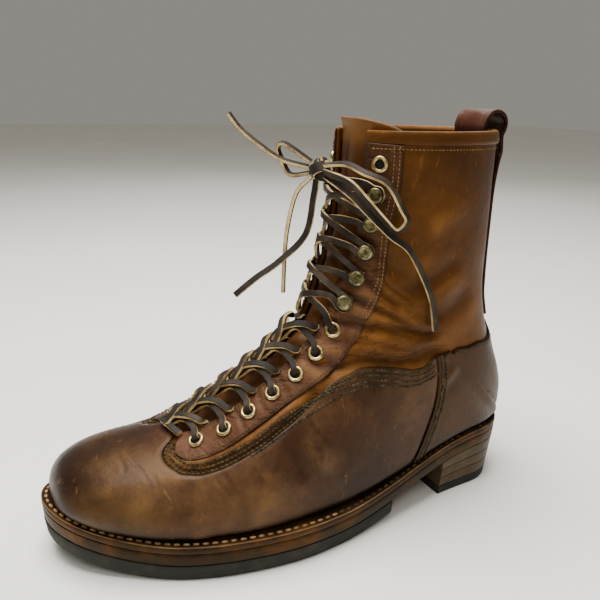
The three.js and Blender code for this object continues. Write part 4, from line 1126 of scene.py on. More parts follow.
# Tongue: a long soft strip of smooth tan hide behind the throat. It stands a little above the
# collar, and its top curls forward over the lacing.
tongue_thickness = 1.8
tongue_height = -3.8
tongue_curl = 1.3
tongue_start = 9.4
tongue_top = 33.97
tongue_rows = np.linspace(tongue_start, 33.9, 150)
tongue_leather = oiled_leather(
    "soft_tongue_hide", "#3a2210", "#4f3015", "#64411d", "#1c0f06", "#805628", 0.38, grain=0.00008
)
tongue_folds = [
    (4.0, 1.2, [(16.3, -14), (16.6, 0), (16.3, 14)]),
    (3.0, 0.9, [(18.4, -14), (18.2, 0), (18.5, 14)]),
    (3.0, 0.8, [(20.4, -15), (20.8, 0), (20.3, 15)]),
    (5.0, 0.9, [(25, -8), (28, -5), (31, -7), (33, -6)]),
]
half = 10 + throat_half(tongue_rows) * 1.25 + np.clip(tongue_rows - 10, 0, 6) * 1.2
shares = np.linspace(-1, 1, 60)
top = tongue_top - 1.0 * np.clip((np.abs(shares + 0.15) - 0.25) / 0.9, 0, 1) ** 1.6
row = tongue_start + (top - tongue_start) * np.linspace(0, 1, len(tongue_rows))[:, None]
across = half[:, None] * shares
points = last_point(row, across)
normals = last_normal(np.minimum(row, 33.5), across)
height, dark = creased(points, tongue_folds, 1)
height = height + tongue_height + tongue_curl * np.clip((row - collar_row) / 0.9, 0, 1)
mesh = bmesh.new()
# Painted shade in its creases, and deeper down in the throat, under the lacing between the facings
shade = np.clip(dark + np.clip((14 - row) / 6, 0, 0.6), 0, 1)
rub = np.clip((row - 32) / 2, 0, 0.6)
lay(mesh, points + normals * height[..., None], normals, shade=shade, rub=rub)
tongue = sheet_piece("tongue_strip", mesh, tongue_leather, tongue_thickness)
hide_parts("tongue")


# Welt: a strip of vegetable-tanned leather laid flat all round the feather line, sewn down to
# the midsole with thick waxed thread. Its edge is dyed brown and rubbed pale in places.
ring_angles = np.linspace(0, math.pi, 481)
ring_along = (1 - np.cos(ring_angles)) / 2


def edge_line(side):
    """The sole's outline on one side, with the way that looks out of it, from toe to heel."""
    x = feather_swing(ring_along) + side * feather_half(ring_along)
    y = toe_y + last_length * ring_along
    other = feather_swing(ring_along) - side * feather_half(ring_along)
    wide_x = np.r_[other[1], x, other[-2]]
    wide_y = np.r_[y[1], y, y[-2]]
    dx, dy = wide_x[2:] - wide_x[:-2], wide_y[2:] - wide_y[:-2]
    size = np.hypot(dx, dy)
    return x, y, side * dy / size, -side * dx / size


edge_lines = {side: edge_line(side) for side in (1, -1)}


# Shares of the length where the welt's reach narrows towards the heel
narrow_start = 0.45
narrow_length = 0.35


def sole_ring(out, start=0.0, end=1.0, share=1.0, plain=False, pull=0.0, count=140):
    """Points round the sole at a reach, and how far along the last each lies."""
    t = np.linspace(0, 1, count)
    if start == 0 and end == 1:
        along = (1 - np.cos(math.pi * t)) / 2
    elif start == 0:
        along = end * (1 - np.cos(math.pi / 2 * t))
    else:
        along = start + (end - start) * np.sin(math.pi / 2 * t)
    narrowing = np.clip((along - narrow_start) / narrow_length, 0, 1)
    widening = 0 if plain else welt_reach + (heel_welt_reach - welt_reach) * narrowing
    halves = []
    for side in (1, -1):
        x, y, nx, ny = (np.interp(along, ring_along, values) for values in edge_lines[side])
        middle_x, middle_y = feather_swing(along), toe_y + last_length * along
        px, py = x + nx * (out + widening), y + ny * (out + widening)
        px, py = middle_x + (px - middle_x) * share, middle_y + (py - middle_y) * share
        halves.append(np.stack([px + frame_shift, py - pull * t**2, along], axis=1))
    return np.concatenate([halves[0], halves[1][::-1]])


def level(out, surface, rise=0.0, share=1.0, pull=0.0):
    """A level of a layer: its reach, its rise over a surface, how much of the way out from the
    sole's middle it goes, and how far its back is drawn forward."""
    return out, lambda along: surface(along) + rise, share, pull


def bottom_layer(name, levels, material, **span):
    """A layer of the sole, closed through its levels."""
    rings = []
    for out, height, share, pull in levels:
        ring = sole_ring(out, share=share, pull=pull, **span)
        ring[:, 2] = height(along_last(ring[:, 1]))
        rings.append(ring)
    mesh = bmesh.new()
    wrap(mesh, rings)
    bmesh.ops.remove_doubles(mesh, verts=mesh.verts, dist=0.00001)
    bmesh.ops.dissolve_degenerate(mesh, edges=mesh.edges, dist=0.000001)
    return make_piece(name, mesh, [material])


def sole_leather(name, dark, middle, light, patch, gloss):
    """Vegetable-tanned edge: waxed and dyed, with layers that show as fine level lines, and
    patches where the dye has worn through to orange."""
    material, place = new_material(name)
    flat = add(material, "Mapping", Vector=place, Scale=(0.15, 0.15, 1))[0]
    lines = add(material, "TexNoise", Vector=flat, Scale=850, Detail=4, Roughness=0.6)[0]
    mottle = add(material, "TexNoise", Vector=place, Scale=38, Detail=7, Roughness=0.65)[0]
    tint = add(material, "ValToRGB", Fac=mottle, stops=((0.34, dark), (0.5, middle), (0.66, light)))[0]
    spots = add(material, "TexNoise", Vector=place, Scale=16, Detail=5, Roughness=0.6)[0]
    worn = add(material, "MapRange", Value=spots, From_Min=0.54, From_Max=0.68, To_Max=0.75)[0]
    patched = add(material, "Mix", {"data_type": "RGBA"}, _0=worn, _6=tint, _7=colour(patch))[2]
    lined = add(material, "MapRange", Value=lines, From_Min=0.3, From_Max=0.5, To_Min=0.45, To_Max=0)[0]
    final = add(material, "Mix", {"data_type": "RGBA"}, _0=lined, _6=patched, _7=colour(dark))[2]
    raised = add(material, "Bump", Height=lines, Distance=0.00025, Strength=0.7)[0]
    nicks = add(material, "Bump", Height=mottle, Distance=0.0011, Strength=0.6, Normal=raised)[0]
    rough = add(material, "MapRange", Value=mottle, To_Min=gloss - 0.1, To_Max=gloss + 0.15)[0]
    shader = add(
        material, "BsdfPrincipled", Base_Color=final, Roughness=rough, Normal=nicks,
        Specular_IOR_Level=0.25, Specular_Tint=colour("#d8aa7c"),
    )[0]
    add(material, "OutputMaterial", Surface=shader)
    return material


welt_leather = sole_leather("dyed_welt_strip", "#150e07", "#28190c", "#3b2712", "#5d3a17", 0.5)
# Its inner edge, out of sight under the upper
welt_inner = -6.5 - upper_wall
welt = bottom_layer("sewn_welt", [
    level(welt_inner, midsole_top), level(0.1, midsole_top), level(0.35, midsole_top, 0.5),
    level(0.4, midsole_top, 2.2), level(0.2, welt_top, -0.9), level(-0.25, welt_top, -0.25),
    level(-0.9, welt_top), level(-2.6, welt_top, -0.15), level(-5.2, welt_top, 0.1),
    level(welt_inner, welt_top), level(welt_inner, midsole_top),
], welt_leather)
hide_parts("welt")


# Midsole: a thick slip of leather under the welt, its edge trimmed flush and burnished. A thin
# pale line above it, along the welt's rounded top rim, is a painted highlight on that edge.
midsole_leather = sole_leather(
    "burnished_midsole_edge", "#110d06", "#20170a", "#302210", "#633a0c", 0.5
)
midsole = bottom_layer("slip_midsole", [
    level(-1, outsole_top, share=0.0), level(-1.0, outsole_top), level(-0.45, outsole_top, 0.3),
    level(-0.15, outsole_top, 1.6), level(0.1, midsole_top, -3.0), level(0.1, midsole_top, -1.2),
    level(-0.5, midsole_top, -0.35), level(-0.6, midsole_top, -0.3, share=0.0),
], midsole_leather)
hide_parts("midsole")

# A pale ring painted as the highlight along the welt's top rim
welt_rim_highlight = sole_leather("painted_welt_rim_highlight", "#4a3724", "#6d5438", "#87694a", "#7a5c38", 0.6)
welt_rim_highlight_ring = bottom_layer("welt_rim_highlight_line", [
    level(-2, welt_top, -0.85), level(0.2, welt_top, -0.85), level(0.38, welt_top, -0.7),
    level(0.3, welt_top, -0.45), level(0.0, welt_top, -0.3), level(-2, welt_top, -0.3),
    level(-2, welt_top, -0.85),
], welt_rim_highlight)


# Insole: the flat board of firm leather that the foot stands on, pale and polished by wear. It
# is cut to the last and lies inside the upper, on the midsole.
insole_leather = sole_leather("worn_insole_board", "#7c6242", "#a08059", "#b6966c", "#8a6a44", 0.6)
insole = bottom_layer("insole_board", [
    level(-4.5, midsole_top, share=0.0), level(-4.5, midsole_top), level(-4.5, welt_top, 2.4),
    level(-5.1, welt_top, 3), level(-5.1, welt_top, 3, share=0.5), level(-5, welt_top, 3, share=0.0),
], insole_leather, plain=True)
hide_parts("insole")


# Outsole: a half sole of black cord rubber under the forepart, cemented and trimmed, with its
# lower edge scuffed grey by the ground and wiped thin at the toe.
half_sole_end = 0.635


def cord_rubber():
    """Black rubber: matt, grey with dust and grit, and scored by small stones."""
    material, place = new_material("black_cord_rubber")
    dust = add(material, "TexNoise", Vector=place, Scale=45, Detail=8, Roughness=0.7)[0]
    tint = add(
        material, "ValToRGB", Fac=dust,
        stops=((0.34, "#0e0e09"), (0.52, "#191810"), (0.7, "#363226")),
    )[0]
    grit = add(material, "TexNoise", Vector=place, Scale=420, Detail=5)[0]
    raised = add(material, "Bump", Height=grit, Distance=0.0004, Strength=0.6)[0]
    rough = add(material, "MapRange", Value=dust, To_Min=0.6, To_Max=0.9)[0]
    shader = add(
        material, "BsdfPrincipled", Base_Color=tint, Roughness=rough, Normal=raised,
        Specular_IOR_Level=0.3,
    )[0]
    add(material, "OutputMaterial", Surface=shader)
    return material


black_rubber = cord_rubber()
outsole = bottom_layer("cord_half_sole", [
    level(-2.6, tread_rise, share=0.0), level(-2.6, tread_rise), level(-1.9, tread_rise, 0.5),
    level(-1.0, tread_rise, 2.4), level(-0.5, outsole_top, -4), level(-0.1, outsole_top, -1.4),
    level(-0.3, outsole_top, -0.6), level(-0.8, outsole_top, -0.3),
    level(-0.8, outsole_top, -0.3, share=0.0),
], black_rubber, end=half_sole_end)
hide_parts("outsole")


# Heel: three lifts of leather nailed in a stack on the midsole, ground to a forward slope and
# smoked grey-brown, over a cap of hard black rubber. Its front face, the breast, is near black.
heel_breast = 0.79
heel_taper = 7
heel_lifts = 3
cap_thickness = 6.5
heel_leather = sole_leather("smoked_heel_lifts", "#2a2218", "#3e3324", "#504232", "#4d3b26", 0.45)
heel_top = outsole_top(1.0)


def heel_height(along, height):
    """A height given at the heel's back, followed forward: the cap is flat, the lifts fan out."""
    above = (height - cap_thickness) / (heel_top - cap_thickness)
    fanned = cap_thickness + (outsole_top(along) - cap_thickness) * above
    return np.where(height <= cap_thickness, height, fanned)


def heel_level(height, inset, share=1.0):
    """A level of the heel at a height given at its back, narrower and drawn in towards the ground."""
    sink = 1 - height / heel_top
    out = -0.3 - 2 * sink - inset
    return out, lambda along: heel_height(along, height), share, heel_taper * sink * 0.8


spread = (heel_top - cap_thickness) / heel_lifts
for lift in range(heel_lifts + 1):
    low = 0 if lift == 0 else cap_thickness + spread * (lift - 1)
    high = cap_thickness if lift == 0 else low + spread
    piece = bottom_layer("cap_lift" if lift == 0 else f"stacked_lift_{lift}", [
        heel_level(low, 0.5, 0.0), heel_level(low + 0.02, 0.5), heel_level(low + 0.3, 0.12),
        heel_level(low + 0.9, 0.0), heel_level(high - 0.9, 0.0), heel_level(high - 0.35, 0.12),
        heel_level(high - 0.08, 0.45), heel_level(high - 0.08, 0.45, 0.0),
    ], black_rubber if lift == 0 else heel_leather, start=heel_breast)
    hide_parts("heel_top_lift" if lift == 0 else f"heel_lift_{lift}")


# Pull loop: one doubled strap sewn up the back seam as a stay, carried over the collar in a
# loop for the fingers and tacked down inside. It reaches further round on the outer side, and
# its edges are rounded, with painted shade on them.
strap_width = 23
strap_thickness = 2.6
back_radius = 37
# Its two edges, in widths of the strap from the back seam, and how it rounds off there
strap_inner = -0.56
strap_outer = 0.84
strap_shares = np.linspace(strap_inner, strap_outer, 29)
strap_round = 0.08
round_depth = 0.9
# How far in its stitches have sunk it, and how deep
stitch_inset = 3.6
stitch_sink = 0.3
# The loop over the collar: behind the collar and over it, in widths of the strap
strap_loop = [
    (0.24, -0.16), (0.31, 0.02), (0.34, 0.2), (0.27, 0.36), (0.08, 0.44), (-0.12, 0.38),
    (-0.24, 0.2), (-0.25, 0.0),
]


def strap_line(row, offset):
    """A line across the strap where it lies on the shaft, at a height off the hide."""
    side = np.where(strap_shares < 0, -1, 1)
    across = girth(row) - np.maximum(np.abs(strap_shares) * strap_width, 0.05)
    return on_last(row, across * side, offset - 0.5 * beside_strap(row, across))


collar_back = last_point(collar_row, girth(collar_row))
strap_rows = [27.72, 28.4, 28.8, 29.7, 30.6, 31.5, 32.1, 32.42]
strap_offsets = [0.7, 0.7, 0.7, 0.7, 0.9, 1.6, 2.8, 4.0]
strap_samples = 190
lines = [strap_line(row, offset) for row, offset in zip(strap_rows, strap_offsets)]
for behind, above in strap_loop:
    x = strap_shares * strap_width
    y = collar_back[1] + behind * strap_width - x * x / (2 * back_radius)
    z = 0 * x + collar_back[2] + above * strap_width
    lines.append(np.stack([x + frame_shift, y, z], axis=1))
lines += [strap_line(row, -(upper_wall + 0.9)) for row in (32.6, 32.1, 31.6)]
lines = np.array(lines)
fine = np.linspace(0, len(lines) - 1, strap_samples)
points = np.stack([
    np.stack([between(lines[:, j, k], fine) for j in range(lines.shape[1])], axis=1)
    for k in range(3)
], axis=2)
outward = np.cross(np.gradient(points, axis=1), np.gradient(points, axis=0))
outward /= np.linalg.norm(outward, axis=-1, keepdims=True)
# Low on the shaft, the middle of the strap looks backwards
if outward[20, len(strap_shares) // 2, 1] < 0:
    outward = -outward
to_edge = np.minimum(strap_shares - strap_inner, strap_outer - strap_shares)
inside = np.clip(1 - to_edge / strap_round, 0, 1)
rounding = round_depth * (1 - np.sqrt(np.clip(1 - inside ** 2, 0, 1)))
sunk = np.exp(-(((to_edge * strap_width - stitch_inset) / 0.7) ** 2))
thickness = strap_thickness - rounding - stitch_sink * sunk
strap_leather = oiled_leather(
    "doubled_strap_hide", "#371f17", "#48291f", "#5a372b", "#140a06", "#80594a", 0.36,
)
mesh = bmesh.new()
unworn = 0 * points[..., 0]
# Painted shade on the rounded edges and in the troughs of the stitches
shade = np.clip((rounding / round_depth) ** 2 * 0.7 + 0.5 * sunk, 0, 1) + unworn
lay(mesh, points + outward * thickness[None, :, None], outward, shade=shade, rub=unworn)
strap = sheet_piece("pull_strap", mesh, strap_leather, strap_thickness - stitch_sink)
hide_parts("pull_loop")


# Eyelets: rolled brass rings clinched through each facing, seven below and one at the collar.
# Their plating has worn to a pale, slightly tarnished yellow.
eyelet_count = 7
hook_count = 5
# Distance of a fitting's middle from the throat's edge, from fitting to fitting, and off the last
fitting_inset = 9.5
fitting_pitch = 16.8
fitting_seat = 2.1
first_fitting_row = 11.05
ring_steps = 32
row_step = 0.02
eyelet_numbers = [*range(eyelet_count), eyelet_count + hook_count]
hook_numbers = range(eyelet_count, eyelet_count + hook_count)


def fitting_reach(row):
    """Distance of a fitting's middle from the ridge."""
    return float(throat_edge(row)) + fitting_inset


def fitting_rows(side):
    """Rows of the fittings up one facing, at one even pitch."""
    tries = np.arange(first_fitting_row, collar_row, row_step)
    places = last_point(tries, (throat_edge(tries) + fitting_inset) * side)
    rows = [first_fitting_row]
    last = places[0]
    for row, place in zip(tries, places):
        if np.linalg.norm(place - last) >= fitting_pitch:
            rows.append(row)
            last = place
    return rows[:eyelet_count + hook_count + 1]


fitting_places = {side: fitting_rows(side) for side in (1, -1)}


def old_brass(name, bright, dull, tarnish, gloss):
    """Brass that was plated, then handled for years: bright on the high spots, brown in the
    corners, with soft fine scratches."""
    material, place = new_material(name)
    stain = add(material, "TexNoise", Vector=place, Scale=260, Detail=6, Roughness=0.65)[0]
    tint = add(
        material, "ValToRGB", Fac=stain, stops=((0.34, tarnish), (0.5, dull), (0.64, bright))
    )[0]
    rough = add(material, "MapRange", Value=stain, To_Min=gloss + 0.2, To_Max=gloss - 0.1)[0]
    dents = add(material, "Bump", Height=stain, Distance=0.0001, Strength=0.5)[0]
    shader = add(
        material, "BsdfPrincipled", Base_Color=tint, Metallic=1.0, Roughness=rough, Normal=dents
    )[0]
    add(material, "OutputMaterial", Surface=shader)
    return material


def fittings(section, numbers):
    """Forms turned round the normals of both facings, from the radii and heights of a section."""
    mesh = bmesh.new()
    for side in (1, -1):
        for number, row in enumerate(fitting_places[side]):
            if number not in numbers:
                continue
            across = fitting_reach(row) * side
            base, normal = last_point(row, across), last_normal(row, across)
            ahead = np.cross(normal, (0, 0, 1.0))
            ahead /= np.linalg.norm(ahead)
            rise = np.cross(normal, ahead)
            angles = np.linspace(0, 2 * math.pi, ring_steps, endpoint=False)
            around = np.outer(np.cos(angles), ahead) + np.outer(np.sin(angles), rise)
            wrap(mesh, np.stack([
                base + around * radius + normal * (height + fitting_seat)
                for radius, height in section
            ]))
    return mesh


eyelet_section = [
    (4.75, -0.5), (4.8, 0.05), (4.62, 0.55), (4.2, 0.95), (3.7, 1.08), (3.2, 0.95), (2.8, 0.6),
    (2.62, 0.0), (2.6, -1.6), (2.75, -1.7), (4.0, -0.7), (4.75, -0.5),
]
pale_brass = old_brass("worn_plated_brass", "#dccb98", "#b9a26b", "#5f4a2a", 0.3)
eyelets = make_piece("eyelet_rings", fittings(eyelet_section, eyelet_numbers), [pale_brass])
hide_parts(*[f"eyelet_{name}_{i}" for name in ("lateral", "medial") for i in range(1, 9)])


# Eyelet holes: inside each ring the hide is punched right through. A dark cup under each ring
# is the painted shadow of the hole.
def painted_hole_shadow():
    """Near black, as the painted shadow inside a hole, with a faint fibre."""
    material, place = new_material("painted_eyelet_hole_shadow")
    fibre = add(material, "TexNoise", Vector=place, Scale=700, Detail=3)[0]
    tint = add(material, "ValToRGB", Fac=fibre, stops=((0.3, "#080503"), (0.7, "#140d08")))[0]
    shader = add(material, "BsdfPrincipled", Base_Color=tint, Roughness=0.95)[0]
    add(material, "OutputMaterial", Surface=shader)
    return material


hole_shadow_section = [
    (2.9, 0.25), (2.5, 0.0), (2.3, -0.3), (0, -0.35), (0, -0.9), (2.9, -0.9), (2.9, 0.25),
]
hole_shadows = make_piece("eyelet_hole_shadows", fittings(hole_shadow_section, eyelet_numbers), [painted_hole_shadow()])


# Hooks: studs of antiqued brass riveted above the eyelets, each a flat head with a shallow ring
# in it, on a short neck over a wider foot, so that the lace catches behind the head.
hook_section = [
    (0, -0.3), (5.1, -0.3), (5.25, 0.1), (5.0, 0.45), (3.6, 0.7), (1.9, 0.95), (1.45, 1.6),
    (1.45, 3.0), (2.1, 3.5), (3.6, 3.6), (4.2, 3.8), (4.4, 4.2), (4.3, 4.6), (3.9, 4.95),
    (3.2, 5.1), (2.9, 4.95), (1.4, 5.15), (0, 5.2),
]
antique_brass = old_brass("antiqued_brass", "#9a9068", "#6a6342", "#332c1c", 0.36)
hooks = make_piece("speed_hooks", fittings(hook_section, hook_numbers), [antique_brass])
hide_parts(*[f"hook_{name}_{i}" for name in ("lateral", "medial") for i in range(1, 6)])


# Lower lacing: one end of the rawhide goes up each side. At every eyelet it comes out, crosses
# to the middle, loops back round the strand below and goes in again, so that a plait of short
# loops stands along the throat.
def turning_guides(faces, count):
    """Face directions at the points of a route, turning evenly through those at its places."""
    faces = np.array(faces)
    share = np.linspace(0, 1, count) * (len(faces) - 1)
    numbers = np.arange(len(faces))
    return np.stack([np.interp(share, numbers, faces[:, k]) for k in range(3)], axis=1)


def lace_through(mesh, places, side):
    """A flat lace through rows, distances from the ridge and heights, broad face outwards."""
    row, across, height = np.array(places, float).T
    route = smooth_route(on_last(row, across * side, height), fine_route_step)
    guides = turning_guides(last_normal(row, across * side), len(route))
    wrap(mesh, lace_rings(route, guides / np.linalg.norm(guides, axis=1, keepdims=True)), lace_paint)


# The inner side's end goes over the outer side's
plait_lift = 1.1
mesh = bmesh.new()
for side in (1, -1):
    rows = fitting_places[side]
    places = []
    over = 0.0 if side > 0 else plait_lift
    for r in rows[:eyelet_count - 1]:
        e, g = fitting_reach(r), float(throat_half(r))
        places += [
            (r, e, -4), (r, e, 0.8), (r + 0.02, e - 1.4, 3.7), (r + 0.14, e - 6, 3.7 + over),
            (r + 0.1, 6.5, 4.8 + over), (r - 0.1, 2.2, 5 + over), (r - 0.5, 0.9, 4.6 + over),
            (r - 0.9, -1.6, 4.4 + over), (r - 0.82, -2.8, 6.6 + over), (r - 0.4, -0.8, 7.9 + over),
            (r, 3.4, 8.1 + over), (r + 0.32, 8, 6.7), (r + 0.5, g + 1.2, 3.6), (r + 0.62, g - 0.4, -2),
            (r + 0.85, e - 1, -4.6),
        ]
    r = rows[eyelet_count - 1]
    e = fitting_reach(r)
    places += [(r, e, -4), (r, e, 0.8), (r + 0.02, e - 1.4, 3.7), (r + 0.2, e - 7, 4.4)]
    lace_through(mesh, places, side)
toe_strand = [(10.5, 12, 3.6), (10.3, 7, 5.4), (10.15, 1, 6.4), (10.1, -5, 5.6), (10.4, -11, 3.6)]
lace_through(mesh, toe_strand, 1)
lower_lace = make_piece("lower_lacing", mesh, rawhide)
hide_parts("lace_lower")


# Upper lacing: the two ends cross over the tongue from hook to hook, each passing behind the
# heads, and come together under the knot.
# Places round a hook's neck: up the throat and outwards from it
hook_turn = [(-3.5, -1.6), (-3.1, 1.9), (0, 3.1), (3.1, 1.9), (3.5, -1.6)]
hook_lace_height = 4.6
crossing_heights = {1: 0.8, -1: 2.6}


def round_hook(row, side):
    """The way round the outer side of a hook's neck, from below to above."""
    across = fitting_reach(row) * side
    middle, normal = last_point(row, across), last_normal(row, across)
    ahead = last_point(row + 0.1, fitting_reach(row + 0.1) * side) - middle
    ahead /= np.linalg.norm(ahead)
    out = last_point(row, across + side) - middle
    out -= ahead * out.dot(ahead)
    out /= np.linalg.norm(out)
    neck = middle + normal * hook_lace_height
    return [neck + ahead * a + out * b for a, b in hook_turn], [normal] * len(hook_turn)


mesh = bmesh.new()
for side in (1, -1):
    before = fitting_places[side][eyelet_count - 1]
    reach = fitting_reach(before)
    leaving = [before, before + 0.25], np.array([reach - 3.5, reach - 8.5]) * side
    points = list(on_last(*leaving, np.array([4.2, hook_lace_height])))
    faces = list(last_normal(*leaving))
    for i, number in enumerate(hook_numbers):
        to = -side if i % 2 == 0 else side
        row = fitting_places[to][number]
        crossing = before * 0.5 + row * 0.5 - 0.25
        near_row = crossing * 0.35 + row * 0.65
        reach = float(throat_edge(near_row)) * to
        over = 3.6 + crossing_heights[side]
        for place, across, height in ((crossing, 0.0, over), (near_row, reach, hook_lace_height)):
            points.append(on_last(place, across, height))
            faces.append(last_normal(place, across))
        turn_points, turn_faces = round_hook(row, to)
        points += turn_points
        faces += turn_faces
        before = row
    top = before + 0.5
    reach = float(throat_edge(top)) * to
    points += [on_last(top, reach, 5.0), knot + np.array([to * 2.0, -1.0, -5.0]), knot]
    faces += [last_normal(top, reach)] + [last_normal(knot_row, 0.0)] * 2
    route = smooth_route(points, fine_route_step)
    wrap(mesh, lace_rings(route, turning_guides(faces, len(route))), lace_paint)
upper_lace = make_piece("upper_lacing", mesh, rawhide)
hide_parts("lace_upper")


# Seams: short, tight lockstitches of thick waxed thread, sunk a little into the hide. Three rows
# and a fourth at the ankle hold the vamp, two the counter's front edge, and finer ones its top,
# the facings, the collar and the strap.
def waxed_thread(name, dark, light):
    """Bonded thread, glossy with wax and grimed between its strands."""
    material, place = new_material(name)
    grime = add(material, "TexNoise", Vector=place, Scale=240, Detail=4)[0]
    tint = add(material, "ValToRGB", Fac=grime, stops=((0.35, dark), (0.65, light)))[0]
    raised = add(material, "Bump", Height=grime, Distance=0.0001)[0]
    shader = add(
        material, "BsdfPrincipled", Base_Color=tint, Roughness=0.7, Normal=raised,
        Specular_IOR_Level=0.15,
    )[0]
    add(material, "OutputMaterial", Surface=shader)
    return material


def surface_of(*pieces):
    """Height finders for finished pieces, with their walls on."""
    graph = bpy.context.evaluated_depsgraph_get()
    return [BVHTree.FromObject(piece, graph) for piece in pieces]


# A row is about ten millimetres long, so rows are multiplied by ten before a line is smoothed,
# in steps of under a millimetre
row_spread = (10, 1)
seam_step = 0.8


def seam_line(rows, across, side, inset=0.0):
    """A smooth line on the last, set in from the edge of a piece, and its normals. The inset is
    one distance, or rows and a distance at each."""
    places = np.stack([rows, across], axis=1)
    row, across = (smooth_route(places * row_spread, seam_step) / row_spread).T
    line, normals = last_point(row, across * side), last_normal(row, across * side)
    reach = np.interp(row, *inset) if isinstance(inset, tuple) else inset + 0 * row
    if np.any(reach):
        run = np.gradient(line, axis=0)
        run /= np.linalg.norm(run, axis=1, keepdims=True)
        line = line + np.cross(run, normals) * reach[:, None] * side
        width = 2 * int(np.abs(reach).max() / seam_step) + 5
        kernel = np.hanning(width + 2)[1:-1]
        kernel /= kernel.sum()
        ends = line[:1].repeat(width // 2, 0), line[-1:].repeat(width // 2, 0)
        padded = np.concatenate([ends[0], line, ends[1]])
        line = np.stack([np.convolve(padded[:, k], kernel, "valid") for k in range(3)], axis=1)
    return line, normals


def at_mark(mark, along, values):
    """Where a line is, or which way it looks, at a distance along it."""
    return Vector([np.interp(mark, along, values[:, k]) for k in range(3)])


def stitch(mesh, seat, ahead, cross, upright, size):
    """One stitch: a small rounded bead of thread that lies along its seam."""
    lying = Matrix((ahead, cross, upright)).transposed() @ Matrix.Diagonal(size)
    bmesh.ops.create_icosphere(
        mesh, subdivisions=1, radius=0.5 * MM, matrix=Matrix.Translation(seat) @ lying.to_4x4(),
    )


# How far over the last a stitch is dropped from, and how far it may fall, in metres
drop_height = 14
drop_reach = 0.03


def sew(mesh, surfaces, seam, pitch, size, skip=(0, 0)):
    """Stitches along a line in space, each dropped on to the hide under it."""
    line, normals = seam
    along = np.r_[0, np.cumsum(np.linalg.norm(np.diff(line, axis=0), axis=1))]
    for mark in np.arange(skip[0] + pitch / 2, along[-1] - skip[1], pitch):
        point = at_mark(mark, along, line)
        ahead = at_mark(mark + 0.6, along, line) - point
        normal = at_mark(mark, along, normals).normalized()
        start = (point + normal * drop_height) * MM
        hits = [surface.ray_cast(start, -normal, drop_reach)[0] for surface in surfaces]
        hits = [hit for hit in hits if hit is not None]
        if not hits or ahead.length < 1e-6:
            continue
        seat = max(hits, key=lambda hit: hit.dot(normal)) + normal * size[2] * 0.12 * MM
        ahead = (ahead - normal * ahead.dot(normal)).normalized()
        stitch(mesh, seat, ahead, normal.cross(ahead), normal, size)


dark_thread = waxed_thread("dark_waxed_thread", "#191510", "#4a412c")
pale_thread = waxed_thread("pale_waxed_thread", "#6a5030", "#a3835a")
tan_thread = waxed_thread("tan_waxed_thread", "#5c4325", "#957244")
surfaces = surface_of(upper, vamp, counter)
# Length, width and height of a stitch, and the pitch of each kind of row
heavy_stitch = (2.75, 1.65, 1.45)
light_stitch = (1.9, 0.8, 0.65)
vamp_pitch = 2.7
counter_pitch = 2.6
counter_top_pitch = 2.5
facing_pitch = 2.1
shaft_pitch = 2.3
# Each row's inset at the toe end, where it holds the roll beside the facing, its inset on the
# vamp at the ankle, and how far along the vamp's edge it starts, all in millimetres
vamp_rows_of_thread = ((-0.7, 2.4, 12), (-3.3, 5.0, 14), (-5.6, 8.2, 18), (1.2, 11.2, 78))
inset_rows = (14.6, 16.8)
mesh = bmesh.new()
for side in (1, -1):
    for front, back, start in vamp_rows_of_thread:
        seam = seam_line(*vamp_edge().T, side, (inset_rows, (front, back)))
        sew(mesh, surfaces, seam, vamp_pitch, heavy_stitch, skip=(start, 3))
vamp_seams = make_piece("vamp_stitches", mesh, [dark_thread])

mesh = bmesh.new()
for side in (1, -1):
    front = below_seam(counter_front + 0.12, np.linspace(0.97, 0.0, 20))
    for inset in (3.0, 6.4):
        sew(mesh, surfaces, seam_line(*front, side, inset), counter_pitch, heavy_stitch)
    top = below_seam(np.linspace(17.9, 27.0, 30), 0.0)
    sew(mesh, surfaces, seam_line(*top, side, 2.6), counter_top_pitch, light_stitch)
counter_seams = make_piece("counter_stitches", mesh, [dark_thread])

# Distances of the facing's rows from its edges, and of the level row from the collar
outer_inset = 2.2
second_inset = 5.2
throat_inset = 2.0
level_drop = 9.2
facings = [bpy.data.objects[f"facing_{name}_strip"] for name in ("lateral", "medial")]
facing_surfaces = surface_of(*facings, upper)
low_seams, high_seams = bmesh.new(), bmesh.new()
for side in (1, -1):
    rows = np.r_[9.9, 10.0, 10.15, np.linspace(10.4, 19, 26)]
    seam = seam_line(rows, facing_end(rows) - outer_inset, side)
    sew(low_seams, facing_surfaces, seam, facing_pitch, light_stitch)
    rows = np.linspace(11.2, 32.3, 60)
    seam = seam_line(rows, throat_edge(rows) + throat_inset, side)
    sew(low_seams, facing_surfaces, seam, facing_pitch, light_stitch)
    rows = np.linspace(19, 32.35, 40)
    for inset in (outer_inset, second_inset):
        seam = seam_line(rows, facing_end(rows) - inset, side)
        sew(high_seams, facing_surfaces, seam, shaft_pitch, light_stitch)
    shares = np.linspace(0.03, 0.84, 30)
    rows = np.array([below_collar(share, level_drop) for share in shares])
    across = throat_edge(rows) + (girth(rows) - throat_edge(rows)) * shares
    sew(high_seams, facing_surfaces, seam_line(rows, across, side), shaft_pitch, light_stitch)
for name, mesh, thread in (
    ("facing_stitches", low_seams, dark_thread), ("shaft_stitches", high_seams, tan_thread)
):
    make_piece(name, mesh, [thread])

# Distances of the strap's rows from the back seam, one inside each edge
strap_seams_at = {1: 15.7, -1: 9.3}
strap_surfaces = surface_of(strap)
mesh = bmesh.new()
for side, far in strap_seams_at.items():
    rows = np.linspace(28.1, 31.6, 20)
    seam = seam_line(rows, girth(rows) - far, side)
    sew(mesh, strap_surfaces, seam, facing_pitch, light_stitch)
strap_seams = make_piece("strap_stitches", mesh, [tan_thread])


